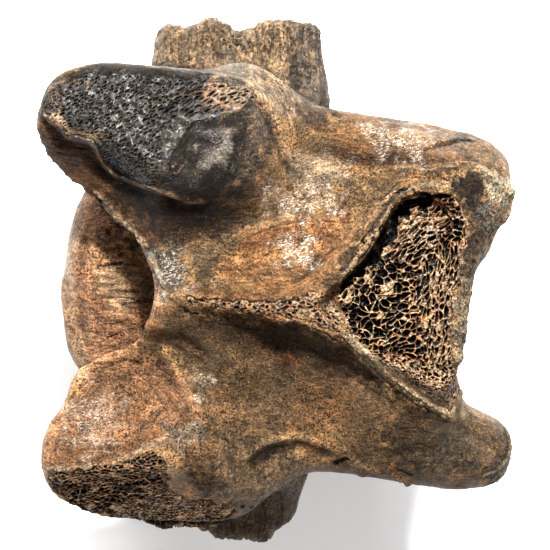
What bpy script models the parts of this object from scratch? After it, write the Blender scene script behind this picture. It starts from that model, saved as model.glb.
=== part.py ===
"""Neck vertebra of a fossil bison, one bone, at life size.

Frame: +X runs towards the tail, +Y to the animal's right, +Z up (dorsal).
The bone lies belly down, on the keel's rear knob and the two ventral tubercles.
All sizes below are in millimetres; the finished mesh is scaled to metres.
"""

import math

import bmesh
import bpy
from mathutils import Matrix, Vector

MM = 0.001

# Driving sizes of the bone
BODY_HALF_WIDTH = 28.0
BODY_HALF_HEIGHT = 26.0
CANAL_HALF_WIDTH = 14.0
CANAL_HALF_HEIGHT = 11.4
CANAL_MIDDLE = 72.0
PLATE_REACH = 73.0
FORAMEN_RADIUS = 4.8
FLOOR = 0.75
BLEND_RADIUS = 4.5

# Facet directions and the outlines of the breaks, (x, y) in millimetres
RIGHT_FACET_FACING = (-0.45, -0.71, 0.53)
LEFT_FACET_FACING = (-0.17, 0.52, 0.84)
RIGHT_WORN_FACING = (-0.15, 0.33, 0.93)
LEFT_WORN_FACING = (-0.02, -0.69, 0.72)
BREAK_OUTLINE = [(9.0, 1.0), (16.5, 8.0), (22.0, 15.0), (29.0, 28.5), (36.0, 30.5), (41.0, 29.0),
                 (44.0, 20.0), (45.5, 4.0), (45.5, -9.0), (44.0, -17.5), (33.0, -12.0), (20.0, -6.0)]
BREAK_FLOOR = [98.0, 94.0, 92.0, 91.0, 92.0, 95.0, 97.0, 98.5, 99.0, 99.5, 99.0, 99.0]
RIGHT_PLATE_EDGE = [(-32.0, 60.0), (-26.3, 67.8), (-21.5, 66.0), (-17.0, 67.5), (-14.0, 70.5),
                    (-10.0, 69.3), (-7.4, 65.4), (-3.0, 66.6), (3.9, 71.2), (8.0, 69.4),
                    (15.5, 70.1), (20.0, 60.0)]
LEFT_PLATE_EDGE = [(-34.0, -60.0), (-26.0, -66.0), (-17.0, -69.5), (-9.0, -67.5), (-3.0, -71.5),
                   (6.0, -70.8), (12.5, -72.6), (17.5, -67.5), (21.0, -66.5), (24.0, -60.0)]

# How finely the clay is worked, in millimetres, and what is kept of it
CLAY_VOXEL = 1.4
CUTTER_VOXEL = 1.5
CARVE_VOXEL = 1.15
SOFTENING = 0.5
KEPT_TRIANGLES = 9400

RING_SIDES = 28
UP = Vector((0.0, 0.0, 1.0))
TAILWARD = Vector((1.0, 0.0, 0.0))


def clear_scene():
    for obj in list(bpy.data.objects):
        bpy.data.objects.remove(obj)


def rounded(value, power):
    """One coordinate of a superellipse, from a sine or a cosine."""
    return math.copysign(abs(value) ** (2.0 / power), value)


def ring_of(bm, centre, side, top, half_side, half_top, power):
    ring = []
    for i in range(RING_SIDES):
        angle = math.tau * i / RING_SIDES
        across = side * (half_side * rounded(math.cos(angle), power))
        upward = top * (half_top * rounded(math.sin(angle), power))
        ring.append(bm.verts.new(centre + across + upward))
    return ring


def loft(bm, stations, up=UP, power=2.2, lean=None, dome=0.55):
    """A closed limb through stations (x, y, z, half width, half height).

    lean gives each ring's tilt in degrees about its own width; dome rounds both ends,
    as a share of the end ring's smaller half size.
    """
    centres = [Vector(s[:3]) for s in stations]
    last = len(stations) - 1
    rings = []
    for i, (centre, station) in enumerate(zip(centres, stations)):
        tangent = (centres[min(i + 1, last)] - centres[max(i - 1, 0)]).normalized()
        side = up.cross(tangent).normalized()
        top = tangent.cross(side).normalized()
        if lean:
            top.rotate(Matrix.Rotation(math.radians(lean[i]), 3, side))
        steps = [(0.0, 1.0)]
        if i in (0, last) and dome:
            steps = [(math.sin(a), math.cos(a)) for a in (0.0, 0.55, 1.0, 1.35)]
            if i == 0:
                steps = steps[::-1]
        outward = -tangent if i == 0 else tangent
        depth = dome * min(station[3], station[4])
        for out, size in steps:
            rings.append(
                ring_of(bm, centre + outward * depth * out, side, top,
                        station[3] * size, station[4] * size, power)
            )
    for first, second in zip(rings, rings[1:]):
        for i in range(RING_SIDES):
            j = (i + 1) % RING_SIDES
            bm.faces.new((first[i], first[j], second[j], second[i]))
    bm.faces.new(rings[0][::-1])
    bm.faces.new(rings[-1])


def blob(bm, centre, radii, turn=(0.0, 0.0, 0.0)):
    """An ellipsoid, turned by degrees about X, Y and Z."""
    turned = Matrix.Identity(4)
    for angle, axis in zip(turn, "XYZ"):
        turned = Matrix.Rotation(math.radians(angle), 4, axis) @ turned
    place = Matrix.Translation(centre) @ turned @ Matrix.Diagonal((*radii, 1.0))
    bmesh.ops.create_icosphere(bm, subdivisions=4, radius=1.0, matrix=place)


def mirrored(stations, side):
    return [(x, side * y, z, a, b) for x, y, z, a, b in stations]


def add_body(bm):
    """The centrum: its head faces forwards and down, its rear rim leans the same way."""
    stations = [
        (45.0, 0.0, 32.0, BODY_HALF_WIDTH + 2.0, BODY_HALF_HEIGHT + 3.0),
        (37.0, 0.0, 32.5, BODY_HALF_WIDTH, BODY_HALF_HEIGHT + 2.0),
        (20.0, 0.0, 36.0, 21.5, 22.0),
        (4.0, 0.0, 38.5, 19.5, 20.0),
        (-10.0, 0.0, 40.0, 22.0, 20.0),
        (-21.0, 0.0, 40.5, 28.0, 21.5),
        (-27.0, -1.0, 40.0, BODY_HALF_WIDTH + 4.0, 23.5),
        (-34.0, -1.5, 39.5, BODY_HALF_WIDTH + 3.0, 22.5),
        (-39.0, -1.5, 38.5, 27.0, 19.0),
        (-42.0, -1.5, 38.0, 20.0, 14.0),
    ]
    lean = [16.0, 14.0, 8.0, 6.0, 9.0, 13.0, 15.0, 17.0, 18.0, 18.0]
    loft(bm, stations, power=2.5, lean=lean, dome=0.12)


def add_keel(bm):
    stations = [
        (-17.0, 0.0, 22.5, 3.6, 5.0),
        (-4.0, 0.0, 18.0, 3.4, 6.5),
        (14.0, 0.0, 12.0, 3.2, 8.0),
        (32.0, 0.0, 7.0, 5.0, 6.5),
        (44.0, 0.0, 6.0, 8.0, 6.4),
    ]
    loft(bm, stations)


def add_pillar(bm, side):
    """The wall beside the canal, from the body up to the articular table."""
    stations = [
        (-1.0, side * 20.0, 44.0, 7.0, 24.0),
        (0.0, side * 22.0, 58.0, 6.5, 21.0),
        (0.0, side * 25.5, 70.0, 8.0, 24.0),
        (0.0, side * 32.0, 80.0, 11.0, 30.0),
    ]
    loft(bm, stations, up=TAILWARD, power=2.4)


def add_roof(bm):
    """The laminae, a low roof from one articular pillar to the other."""
    stations = [
        (8.0, -46.0, 75.0, 22.0, 7.0),
        (-3.0, -32.0, 79.0, 46.0, 6.0),
        (-1.0, -18.0, 83.0, 46.0, 4.8),
        (6.0, 0.0, 87.0, 40.0, 4.6),
        (-1.0, 18.0, 84.0, 46.0, 4.8),
        (-3.0, 32.0, 81.0, 46.0, 6.5),
        (8.0, 45.0, 77.0, 24.0, 8.0),
    ]
    loft(bm, stations, power=2.6)


def add_front_right(bm):
    """Right cranial articular process, the thick dark tongue."""
    stations = [
        (1.0, 41.0, 82.0, 12.0, 9.0),
        (-10.0, 40.5, 85.0, 16.0, 12.5),
        (-24.0, 40.5, 86.5, 17.0, 14.0),
        (-39.0, 41.5, 85.5, 16.5, 13.0),
        (-50.5, 43.5, 84.0, 14.5, 10.0),
        (-58.0, 45.0, 83.5, 10.0, 6.5),
    ]
    loft(bm, stations, power=2.7, dome=0.45)
    flange = [
        (-14.0, 24.0, 82.0, 14.0, 6.0),
        (-34.0, 27.0, 80.0, 13.0, 6.5),
        (-47.0, 33.0, 79.5, 12.0, 6.0),
        (-55.0, 38.0, 80.5, 8.0, 5.0),
    ]
    loft(bm, flange, power=2.5)


def add_front_left(bm):
    """Left cranial articular process, its facet turned up and its edge worn open."""
    stations = [
        (-1.0, -44.0, 74.5, 15.0, 9.0),
        (-13.0, -46.0, 77.0, 18.5, 12.0),
        (-26.0, -45.0, 78.0, 20.0, 13.0),
        (-38.0, -43.5, 78.5, 18.5, 12.0),
        (-47.0, -42.0, 79.0, 14.5, 9.0),
        (-52.0, -41.5, 79.5, 9.0, 6.0),
    ]
    loft(bm, stations, power=2.5, dome=0.4)
    flange = [
        (-14.0, -24.0, 80.0, 12.0, 6.0),
        (-32.0, -27.0, 76.5, 13.0, 5.5),
        (-44.0, -32.0, 76.0, 10.0, 5.0),
    ]
    loft(bm, flange, power=2.5)


def add_rear_right(bm):
    stations = [
        (6.0, 38.5, 79.0, 12.0, 9.0),
        (24.0, 38.0, 81.0, 10.5, 9.5),
        (40.0, 37.5, 83.0, 10.0, 10.5),
        (52.0, 36.0, 84.5, 9.5, 10.5),
        (58.5, 34.5, 85.5, 6.5, 8.0),
    ]
    loft(bm, stations, power=2.3, dome=0.4)


def add_rear_left(bm):
    stations = [
        (6.0, -33.0, 76.0, 12.0, 10.0),
        (27.0, -33.5, 77.5, 12.0, 11.0),
        (44.0, -35.5, 79.0, 12.0, 11.0),
        (56.0, -37.5, 79.0, 11.5, 10.5),
        (65.5, -38.0, 79.5, 9.0, 8.0),
    ]
    loft(bm, stations, power=2.3, dome=0.5)


def add_spine(bm):
    """Foot of the broken spinous process: a keel in front, a broad wedge behind."""
    stations = [
        (-22.0, 0.0, 88.0, 2.2, 5.0),
        (-15.0, 0.0, 89.5, 2.6, 6.0),
        (-5.0, 0.0, 92.5, 3.0, 7.5),
        (7.0, 0.5, 95.0, 5.5, 9.5),
        (17.0, 1.5, 96.0, 12.5, 10.0),
        (27.0, 4.0, 96.0, 20.0, 11.0),
        (37.0, 7.5, 96.0, 29.0, 11.5),
        (47.0, 7.0, 95.5, 29.5, 11.5),
    ]
    loft(bm, stations, power=3.0, dome=0.25)
    knob = [
        (40.0, 34.0, 96.0, 8.0, 8.0),
        (48.0, 31.0, 96.0, 8.5, 8.0),
        (57.0, 29.0, 93.5, 6.0, 6.5),
    ]
    loft(bm, knob, dome=0.6)
    blob(bm, (50.0, 20.0, 92.0), (6.5, 9.0, 8.0))
    left_flank = [
        (10.0, -12.0, 86.0, 9.0, 7.0),
        (30.0, -19.0, 85.0, 13.0, 8.5),
        (46.0, -26.0, 85.0, 12.0, 9.0),
    ]
    loft(bm, left_flank, dome=0.6)
    right_flank = [
        (12.0, 14.0, 85.0, 9.0, 6.0),
        (30.0, 25.0, 87.0, 10.0, 7.0),
    ]
    loft(bm, right_flank, dome=0.6)


def add_wing(bm, side):
    """Transverse process: a plate out to the side, and a lamina down to the floor."""
    plate = [
        (-3.0, 24.0, 50.0, 26.0, 13.0),
        (-4.0, 38.0, 51.0, 25.0, 12.5),
        (-5.0, 50.0, 49.5, 24.5, 9.0),
        (-5.5, 60.0, 47.0, 23.5, 6.0),
        (-5.5, PLATE_REACH, 45.0, 22.5, 4.6),
    ]
    if side < 0:
        plate = [(x + 2.5, y, z - 1.5, a, b) for x, y, z, a, b in plate]
    loft(bm, mirrored(plate, side), power=2.8, dome=0.2)
    web = [
        (4.0, 34.0, 60.0, 24.0, 8.0),
        (3.0, 42.0, 58.0, 20.0, 8.0),
        (2.0, 50.0, 53.0, 18.0, 6.0),
    ]
    loft(bm, mirrored(web, side), power=2.6, dome=0.3)
    lamina = [
        (-5.0, 35.0, 46.0, 8.0, 21.0),
        (-9.0, 40.0, 32.0, 5.8, 18.5),
        (-14.0, 45.0, 17.0, 5.0, 15.5),
        (-18.0, 48.5, 4.3, 6.2, 12.5),
    ]
    loft(bm, mirrored(lamina, side), up=TAILWARD, power=2.4)


def add_whole(bm):
    add_body(bm)
    add_keel(bm)
    add_roof(bm)
    add_spine(bm)
    add_front_right(bm)
    add_front_left(bm)
    add_rear_right(bm)
    add_rear_left(bm)
    for side in (1.0, -1.0):
        add_pillar(bm, side)
        add_wing(bm, side)


def mesh_object(name, build):
    """An object whose mesh is what build adds to an empty bmesh."""
    bm = bmesh.new()
    build(bm)
    bmesh.ops.recalc_face_normals(bm, faces=bm.faces)
    mesh = bpy.data.meshes.new(name)
    bm.to_mesh(mesh)
    bm.free()
    obj = bpy.data.objects.new(name, mesh)
    bpy.context.scene.collection.objects.link(obj)
    return obj


def bake(obj):
    """Puts the object's modifiers into its mesh."""
    bpy.context.view_layer.update()
    graph = bpy.context.evaluated_depsgraph_get()
    baked = bpy.data.meshes.new_from_object(obj.evaluated_get(graph))
    obj.modifiers.clear()
    obj.data = baked


def knead(obj, voxel, passes):
    """Joins what overlaps into one skin and smooths it."""
    remesh = obj.modifiers.new("one_skin", "REMESH")
    remesh.mode = "VOXEL"
    remesh.voxel_size = voxel
    if passes:
        smooth = obj.modifiers.new("soften", "SMOOTH")
        smooth.factor = SOFTENING
        smooth.iterations = passes
    bake(obj)


def fillet(obj, radius, voxel):
    """Rounds the hollows between limbs: swells the skin, joins it and shrinks it back."""
    for strength in (radius, -radius):
        swell = obj.modifiers.new("swell", "DISPLACE")
        swell.strength = strength
        swell.mid_level = 0.0
        bake(obj)
        knead(obj, voxel, 1)


def carve(obj, cutters):
    """Takes every cutter's volume away from the object."""
    for cutter in cutters:
        knead(cutter, CUTTER_VOXEL, 0)
        cut = obj.modifiers.new(cutter.name, "BOOLEAN")
        cut.operation = "DIFFERENCE"
        cut.object = cutter
        bake(obj)
        bpy.data.objects.remove(cutter)


def cut_canal(bm):
    stations = [
        (-75.0, 0.0, CANAL_MIDDLE, CANAL_HALF_WIDTH + 9.0, CANAL_HALF_HEIGHT),
        (-44.0, 0.0, CANAL_MIDDLE, CANAL_HALF_WIDTH + 5.0, CANAL_HALF_HEIGHT),
        (-30.0, 0.0, CANAL_MIDDLE, CANAL_HALF_WIDTH + 2.0, CANAL_HALF_HEIGHT),
        (-10.0, 0.0, CANAL_MIDDLE, CANAL_HALF_WIDTH, CANAL_HALF_HEIGHT),
        (20.0, 0.0, CANAL_MIDDLE, CANAL_HALF_WIDTH, CANAL_HALF_HEIGHT),
        (42.0, 0.0, CANAL_MIDDLE, CANAL_HALF_WIDTH + 3.5, CANAL_HALF_HEIGHT),
        (75.0, 0.0, CANAL_MIDDLE + 2.0, CANAL_HALF_WIDTH + 10.0, CANAL_HALF_HEIGHT + 3.0),
    ]
    loft(bm, stations, power=2.3, dome=0.1)


def cut_front_gap(bm):
    """The deep bay between the two cranial processes, open to the sky."""
    stations = [(-76.0, 0.0, 66.0, 26.0, 46.0), (-76.0, 0.0, 120.0, 30.5, 50.5)]
    loft(bm, stations, up=TAILWARD, power=2.0, dome=0.0)


def cut_notches(bm):
    """The gaps where the nerves leave, in front of each pillar and behind it."""
    for side in (1.0, -1.0):
        blob(bm, (-42.0, side * 30.0, 64.0), (18.0, 16.0, 7.0), (side * -10.0, 4.0, 0.0))
        blob(bm, (47.0, side * 29.0, 65.0), (24.0, 17.0, 9.0), (side * -10.0, 6.0, 0.0))


def cut_foramina(bm):
    for side in (1.0, -1.0):
        stations = [
            (-50.0, side * 34.0, 43.0, 9.0, 8.0),
            (-22.0, side * 32.5, 46.0, FORAMEN_RADIUS, FORAMEN_RADIUS),
            (18.0, side * 31.5, 47.0, FORAMEN_RADIUS, FORAMEN_RADIUS),
            (50.0, side * 36.0, 47.0, 9.0, 8.0),
        ]
        loft(bm, stations)


def cut_hollows(bm):
    """Hollows under the articular table and beside the body."""
    for side in (1.0, -1.0):
        blob(bm, (-24.0, side * 52.0, 63.0), (22.0, 18.0, 8.0), (side * 10.0, 0.0, 0.0))
        blob(bm, (32.0, side * 50.0, 58.0), (18.0, 18.0, 9.0), (side * 10.0, 0.0, 0.0))
        blob(bm, (30.0, side * 38.0, 28.0), (22.0, 16.0, 13.0), (0.0, 0.0, side * 14.0))
        blob(bm, (2.0, side * 22.0, 13.0), (28.0, 14.0, 11.0))


def cut_rear_cup(bm):
    blob(bm, (63.0, 0.0, 35.0), (27.0, 29.0, 29.0), (0.0, -16.0, 0.0))


def lying(centre, facing, long_way, sizes):
    """Places a unit shape in a facet: sizes are along long_way, across it and along facing."""
    deep = Vector(facing).normalized()
    along = Vector(long_way)
    along = (along - along.dot(deep) * deep).normalized()
    across = deep.cross(along)
    turned = Matrix((along, across, deep)).transposed().to_4x4()
    return Matrix.Translation(centre) @ turned @ Matrix.Diagonal((*sizes, 1.0))


def dish(bm, on_facet, facing, long_way, radii, sink):
    """An ellipsoid that sinks so deep into a facet, and leaves it gently hollow."""
    centre = Vector(on_facet) + (radii[2] - sink) * Vector(facing).normalized()
    place = lying(centre, facing, long_way, radii)
    bmesh.ops.create_icosphere(bm, subdivisions=4, radius=1.0, matrix=place)


def slab(bm, on_plane, facing, long_way, halves):
    """A box that stands on a plane and takes all that lies beyond it."""
    centre = Vector(on_plane) + halves[2] * Vector(facing).normalized()
    bmesh.ops.create_cube(bm, size=2.0, matrix=lying(centre, facing, long_way, halves))


def cut_worn_faces(bm):
    """Where wear has planed the two cranial processes."""
    slab(bm, (-30.0, 44.0, 94.3), RIGHT_WORN_FACING, TAILWARD, (34.0, 26.0, 12.0))
    slab(bm, (-30.0, -52.5, 81.0), LEFT_WORN_FACING, TAILWARD, (40.0, 17.0, 14.0))


def cut_front_facets(bm):
    """The right facet stands steep under a ragged rim, the left one lies open to the sky."""
    dish(bm, (-45.5, 31.0, 86.5), RIGHT_FACET_FACING, (1.0, -0.6, 0.0), (24.0, 18.0, 12.5), 3.5)
    dish(bm, (-37.0, -35.0, 83.5), LEFT_FACET_FACING, (1.0, 0.35, 0.0), (32.0, 20.0, 14.5), 2.5)


def cut_rear_facets(bm):
    """Flat undersides of the rear processes, facing down and out."""
    for side, facet in ((1.0, (53.0, 40.5, 79.0)), (-1.0, (55.0, -42.0, 73.5))):
        dish(bm, facet, (0.1, side * 0.62, -0.78), TAILWARD, (25.0, 17.0, 12.0), 2.0)


def prism(bm, outline, floor, top):
    """A pit through an outline of (x, y) points, its floor height given point by point."""
    low = [bm.verts.new((x, y, z)) for (x, y), z in zip(outline, floor)]
    high = [bm.verts.new((x, y, top)) for x, y in outline]
    bm.faces.new(low[::-1])
    bm.faces.new(high)
    for i in range(len(outline)):
        j = (i + 1) % len(outline)
        bm.faces.new((low[i], low[j], high[j], high[i]))


def cut_break(bm):
    """The open end of the broken spine, deepest along its front right wall."""
    prism(bm, BREAK_OUTLINE, BREAK_FLOOR, 130.0)


def cut_plate_edges(bm):
    """The torn edges of both transverse plates."""
    for edge, side in ((RIGHT_PLATE_EDGE, 1.0), (LEFT_PLATE_EDGE, -1.0)):
        outline = [*edge, (40.0, side * 95.0), (-50.0, side * 95.0)]
        prism(bm, outline, [20.0] * len(outline), 78.0)


def thin_out(obj):
    """Fewer triangles, most of them where the bone bends."""
    fewer = obj.modifiers.new("fewer", "DECIMATE")
    fewer.ratio = KEPT_TRIANGLES / sum(len(p.vertices) - 2 for p in obj.data.polygons)
    bake(obj)


def set_down(obj):
    """Small flats to lie on, the origin under the middle of the bone, and metres."""
    bm = bmesh.new()
    bm.from_mesh(obj.data)
    cut = bmesh.ops.bisect_plane(
        bm,
        geom=[*bm.verts, *bm.edges, *bm.faces],
        plane_co=(0.0, 0.0, FLOOR),
        plane_no=(0.0, 0.0, -1.0),
        clear_outer=True,
    )
    edges = [e for e in cut["geom_cut"] if isinstance(e, bmesh.types.BMEdge)]
    bmesh.ops.holes_fill(bm, edges=edges, sides=0)
    bmesh.ops.triangulate(bm, faces=bm.faces)
    low = [min(v.co[i] for v in bm.verts) for i in range(3)]
    high = [max(v.co[i] for v in bm.verts) for i in range(3)]
    middle = Vector(((low[0] + high[0]) / 2, (low[1] + high[1]) / 2, low[2]))
    bmesh.ops.translate(bm, vec=-middle, verts=bm.verts)
    bmesh.ops.scale(bm, vec=(MM, MM, MM), verts=bm.verts)
    bm.to_mesh(obj.data)
    bm.free()


def bone_material():
    material = bpy.data.materials.new("fossil_bone")
    material.use_nodes = True
    shader = material.node_tree.nodes["Principled BSDF"]
    shader.inputs["Base Color"].default_value = (0.27, 0.17, 0.09, 1.0)
    shader.inputs["Roughness"].default_value = 0.55
    shader.inputs["Metallic"].default_value = 0.0
    return material


def build_vertebra():
    bone = mesh_object("vertebra", add_whole)
    knead(bone, CLAY_VOXEL, 3)
    fillet(bone, BLEND_RADIUS, CLAY_VOXEL)
    knead(bone, CLAY_VOXEL, 3)
    carve(bone, [mesh_object(f.__name__, f) for f in (
        cut_hollows, cut_worn_faces, cut_notches, cut_canal, cut_front_gap, cut_foramina, cut_rear_cup,
        cut_front_facets, cut_rear_facets, cut_break, cut_plate_edges)])
    knead(bone, CARVE_VOXEL, 4)
    thin_out(bone)
    set_down(bone)
    bone.data.materials.clear()
    bone.data.materials.append(bone_material())
    bone.data.shade_smooth()


clear_scene()
build_vertebra()
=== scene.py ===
"""Looks of a fossil bison neck vertebra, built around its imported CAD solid.

The bone is worked like clay, in millimetres in the row frame, and scaled to metres at the end.
Marks and washes are placed by where they show in the photograph's 550 by 550 frame: a ray from
the camera finds the bone's skin there, and the mark is cut or painted on that skin.
"""

import logging
import math
from dataclasses import dataclass
from enum import Enum

import bmesh
import bpy
import numpy as np
from mathutils import Matrix, Vector, noise
from mathutils.bvhtree import BVHTree


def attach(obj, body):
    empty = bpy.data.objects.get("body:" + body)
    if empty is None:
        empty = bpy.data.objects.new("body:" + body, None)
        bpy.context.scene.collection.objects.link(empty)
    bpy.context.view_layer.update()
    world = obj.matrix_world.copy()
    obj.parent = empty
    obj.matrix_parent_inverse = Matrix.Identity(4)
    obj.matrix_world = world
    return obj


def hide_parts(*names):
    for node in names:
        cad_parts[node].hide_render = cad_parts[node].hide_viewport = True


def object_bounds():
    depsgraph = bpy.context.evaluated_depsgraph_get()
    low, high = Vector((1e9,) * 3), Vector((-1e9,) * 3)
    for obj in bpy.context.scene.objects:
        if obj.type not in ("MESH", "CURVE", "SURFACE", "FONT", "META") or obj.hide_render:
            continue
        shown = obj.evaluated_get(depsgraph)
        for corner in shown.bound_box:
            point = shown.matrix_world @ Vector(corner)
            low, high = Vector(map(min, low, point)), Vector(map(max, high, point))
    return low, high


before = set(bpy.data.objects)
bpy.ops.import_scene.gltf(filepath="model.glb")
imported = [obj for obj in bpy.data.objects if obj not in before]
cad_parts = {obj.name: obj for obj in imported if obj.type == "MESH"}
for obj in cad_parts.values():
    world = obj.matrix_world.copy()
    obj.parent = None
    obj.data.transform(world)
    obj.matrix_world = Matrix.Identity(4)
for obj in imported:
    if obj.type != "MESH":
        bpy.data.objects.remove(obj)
CAD_BOX = [list(corner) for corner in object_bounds()]

# Metres in a millimetre, the frame's width, millimetres that a pixel covers on the bone, and the most
# triangles of a piece
MM = 0.001
FRAME_PIXELS = 550
PIXEL = 0.25
MOST_TRIANGLES = 192000

# Farther than any point lies, how far a seed shifts a pattern, and the reach of a mark and of a swell
# in half widths
FAR = 1e9
SEED_STEP = 17.3
CELL_SEED_STEP = 31.7
REACH = 2.4
SWELL_REACH = 2.2

Path = tuple[tuple[float, float], ...]
Triple = tuple[float, float, float]
Colour = tuple[float, float, float, float]
Socket = bpy.types.NodeSocket


def smoothstep(low: float, high: float, value: np.ndarray) -> np.ndarray:
    """Rises from 0 at low to 1 at high without a corner."""
    share = np.clip((value - low) / (high - low), 0.0, 1.0)
    return share * share * (3.0 - 2.0 * share)


def gap_to_side(spots: np.ndarray, start: np.ndarray, end: np.ndarray) -> np.ndarray:
    """How far spots are from a straight side.

    Args:
        spots: places in a plane, one pair per row.
        start: one end of the side.
        end: its other end.

    Returns:
        One distance for each spot.
    """
    side = end - start
    share = np.clip(((spots - start) @ side) / (side @ side), 0.0, 1.0)
    return np.linalg.norm(spots - start - share[:, None] * side, axis=1)


def lay(tint: np.ndarray, share: np.ndarray, colour: np.ndarray) -> None:
    """Mixes a colour into a tint in place, by the share at each point."""
    tint += share[:, None] * (colour - tint)


def noise_at(points: np.ndarray, size: float, seed: float = 0.0) -> np.ndarray:
    """Smooth noise of about -0.6 to 0.6.

    Args:
        points: places in millimetres, one per row.
        size: width of a bump in millimetres.
        seed: shifts the pattern.

    Returns:
        One value for each point.
    """
    places = (points / size + SEED_STEP * seed).tolist()
    return np.array([noise.noise(place) for place in places])


class Pigment(Enum):
    """Colours of the bone, as they look under plain light, 0 to 255."""

    TAN = (178, 142, 102)
    PALE = (212, 180, 142)
    CREAM = (228, 208, 176)
    BEIGE = (192, 162, 128)
    HONEY = (196, 142, 92)
    BROWN = (138, 98, 60)
    DEEP_BROWN = (74, 50, 30)
    EARTH = (106, 80, 50)
    ORANGE = (194, 122, 60)
    RUST = (150, 84, 40)
    PINK_TAN = (190, 142, 104)
    GREY_BROWN = (110, 92, 70)
    GREY = (128, 120, 108)
    CHARCOAL = (52, 49, 46)
    BLACK = (16, 13, 10)

    @property
    def linear(self) -> np.ndarray:
        """The colour in linear light."""
        share = np.array(self.value) / 255.0
        return np.where(share > 0.04045, ((share + 0.055) / 1.055) ** 2.4, share / 12.92)


@dataclass(frozen=True)
class PhotoCamera:
    """The photograph's camera: its place and its axes, in millimetres in the row frame."""

    place: Triple = (-128.64, 95.37, 802.11)
    right: Triple = (0.98368, 0.07293, 0.16449)
    up: Triple = (-0.05155, 0.99009, -0.13066)
    back: Triple = (-0.17239, 0.12004, 0.97769)
    lens: float = 188.51
    sensor: float = 36.0

    @property
    def focal(self) -> float:
        """Focal length in pixels of the frame."""
        return self.lens / self.sensor * FRAME_PIXELS

    def project(self, points: np.ndarray) -> np.ndarray:
        """Where points show in the frame.

        Args:
            points: places in millimetres, one per row.

        Returns:
            Pixels from the left and from the top, one pair per point.
        """
        away = points - np.array(self.place)
        depth = -(away @ np.array(self.back))
        across = FRAME_PIXELS / 2 + self.focal * (away @ np.array(self.right)) / depth
        down = FRAME_PIXELS / 2 - self.focal * (away @ np.array(self.up)) / depth
        return np.stack([across, down], axis=1)

    def sight(self, across: float, down: float) -> Vector:
        """Direction of the ray through a pixel of the frame.

        Args:
            across: pixels from the left.
            down: pixels from the top.

        Returns:
            A unit vector from the camera.
        """
        aside = (across - FRAME_PIXELS / 2) / self.focal
        above = (FRAME_PIXELS / 2 - down) / self.focal
        ray = Vector(self.right) * aside + Vector(self.up) * above - Vector(self.back)
        return ray.normalized()

    def build(self) -> None:
        """Makes the scene's camera."""
        lens = bpy.data.cameras.new("photo_camera")
        lens.lens = self.lens
        lens.sensor_width = self.sensor
        lens.clip_start = 0.01
        camera = bpy.data.objects.new("photo_camera", lens)
        turned = Matrix((self.right, self.up, self.back)).transposed().to_4x4()
        camera.matrix_world = Matrix.Translation(Vector(self.place) * MM) @ turned
        bpy.context.scene.collection.objects.link(camera)
        bpy.context.scene.camera = camera


@dataclass(frozen=True)
class StudioLight:
    """A large soft lamp above the picture's top edge, a weak fill, a small bright lamp and a white room.

    Sizes are in metres. A direction runs from the bone to its lamp, and the small lamp's is the large
    lamp's, shifted.
    """

    distance: float = 1.3
    aim_height: float = 0.05
    towards: Triple = (-0.20, 0.78, 0.60)
    size: float = 0.55
    watts: float = 20.0
    fill_towards: Triple = (0.75, -0.35, 0.65)
    fill_size: float = 1.0
    fill_watts: float = 1.6
    spark_shift: Triple = (0.1, -0.1, 0.3)
    spark_size: float = 0.1
    spark_watts: float = 34.0
    room: float = 0.42

    def lamp(self, name: str, towards: Vector, size: float, watts: float) -> None:
        """Hangs a square lamp that faces the bone.

        Args:
            name: the lamp's name.
            towards: direction from the bone to the lamp.
            size: its side in metres.
            watts: its power.
        """
        data = bpy.data.lights.new(name, "AREA")
        data.shape = "SQUARE"
        data.size = size
        data.energy = watts
        obj = bpy.data.objects.new(name, data)
        aim = towards.normalized()
        place = Matrix.Translation(aim * self.distance + Vector((0.0, 0.0, self.aim_height)))
        obj.matrix_world = place @ aim.to_track_quat("Z", "Y").to_matrix().to_4x4()
        bpy.context.scene.collection.objects.link(obj)

    def build(self) -> None:
        """Makes the lamps and the white room."""
        self.lamp("key_lamp", Vector(self.towards), self.size, self.watts)
        self.lamp("fill_lamp", Vector(self.fill_towards), self.fill_size, self.fill_watts)
        higher = Vector(self.towards) + Vector(self.spark_shift)
        self.lamp("spark_lamp", higher, self.spark_size, self.spark_watts)
        world = bpy.data.worlds.new("white_room")
        world.use_nodes = True
        sky = world.node_tree.nodes["Background"]
        sky.inputs["Color"].default_value = (1.0, 1.0, 1.0, 1.0)
        sky.inputs["Strength"].default_value = self.room
        bpy.context.scene.world = world
        bpy.context.scene.view_settings.view_transform = "Standard"
        bpy.context.scene.view_settings.look = "Medium High Contrast"


@dataclass(frozen=True)
class PaleFloor:
    """The table top under the bone: white paper with a faint grain and a faint glow."""

    half_size: float = 3.0
    grain: float = 400.0
    shades: tuple[float, float] = (0.86, 0.90)
    roughness: float = 0.9
    glow: float = 0.16

    def build(self) -> None:
        """Makes the floor."""
        bm = bmesh.new()
        bmesh.ops.create_grid(bm, x_segments=2, y_segments=2, size=self.half_size)
        mesh = bpy.data.meshes.new("pale_floor")
        bm.to_mesh(mesh)
        bm.free()
        floor = bpy.data.objects.new("pale_floor", mesh)
        bpy.context.scene.collection.objects.link(floor)
        desk = NodeDesk("pale_paper")
        darker, lighter = ((shade, shade, shade) for shade in self.shades)
        grain = desk.noise(self.grain, 3.0)
        desk.feed("Base Color", desk.ramp(grain, ((0.3, darker), (0.7, lighter))))
        desk.set_socket("Roughness", self.roughness)
        desk.set_socket("Emission Color", (1.0, 1.0, 1.0, 1.0))
        desk.set_socket("Emission Strength", self.glow)
        mesh.materials.append(desk.material)


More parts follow.
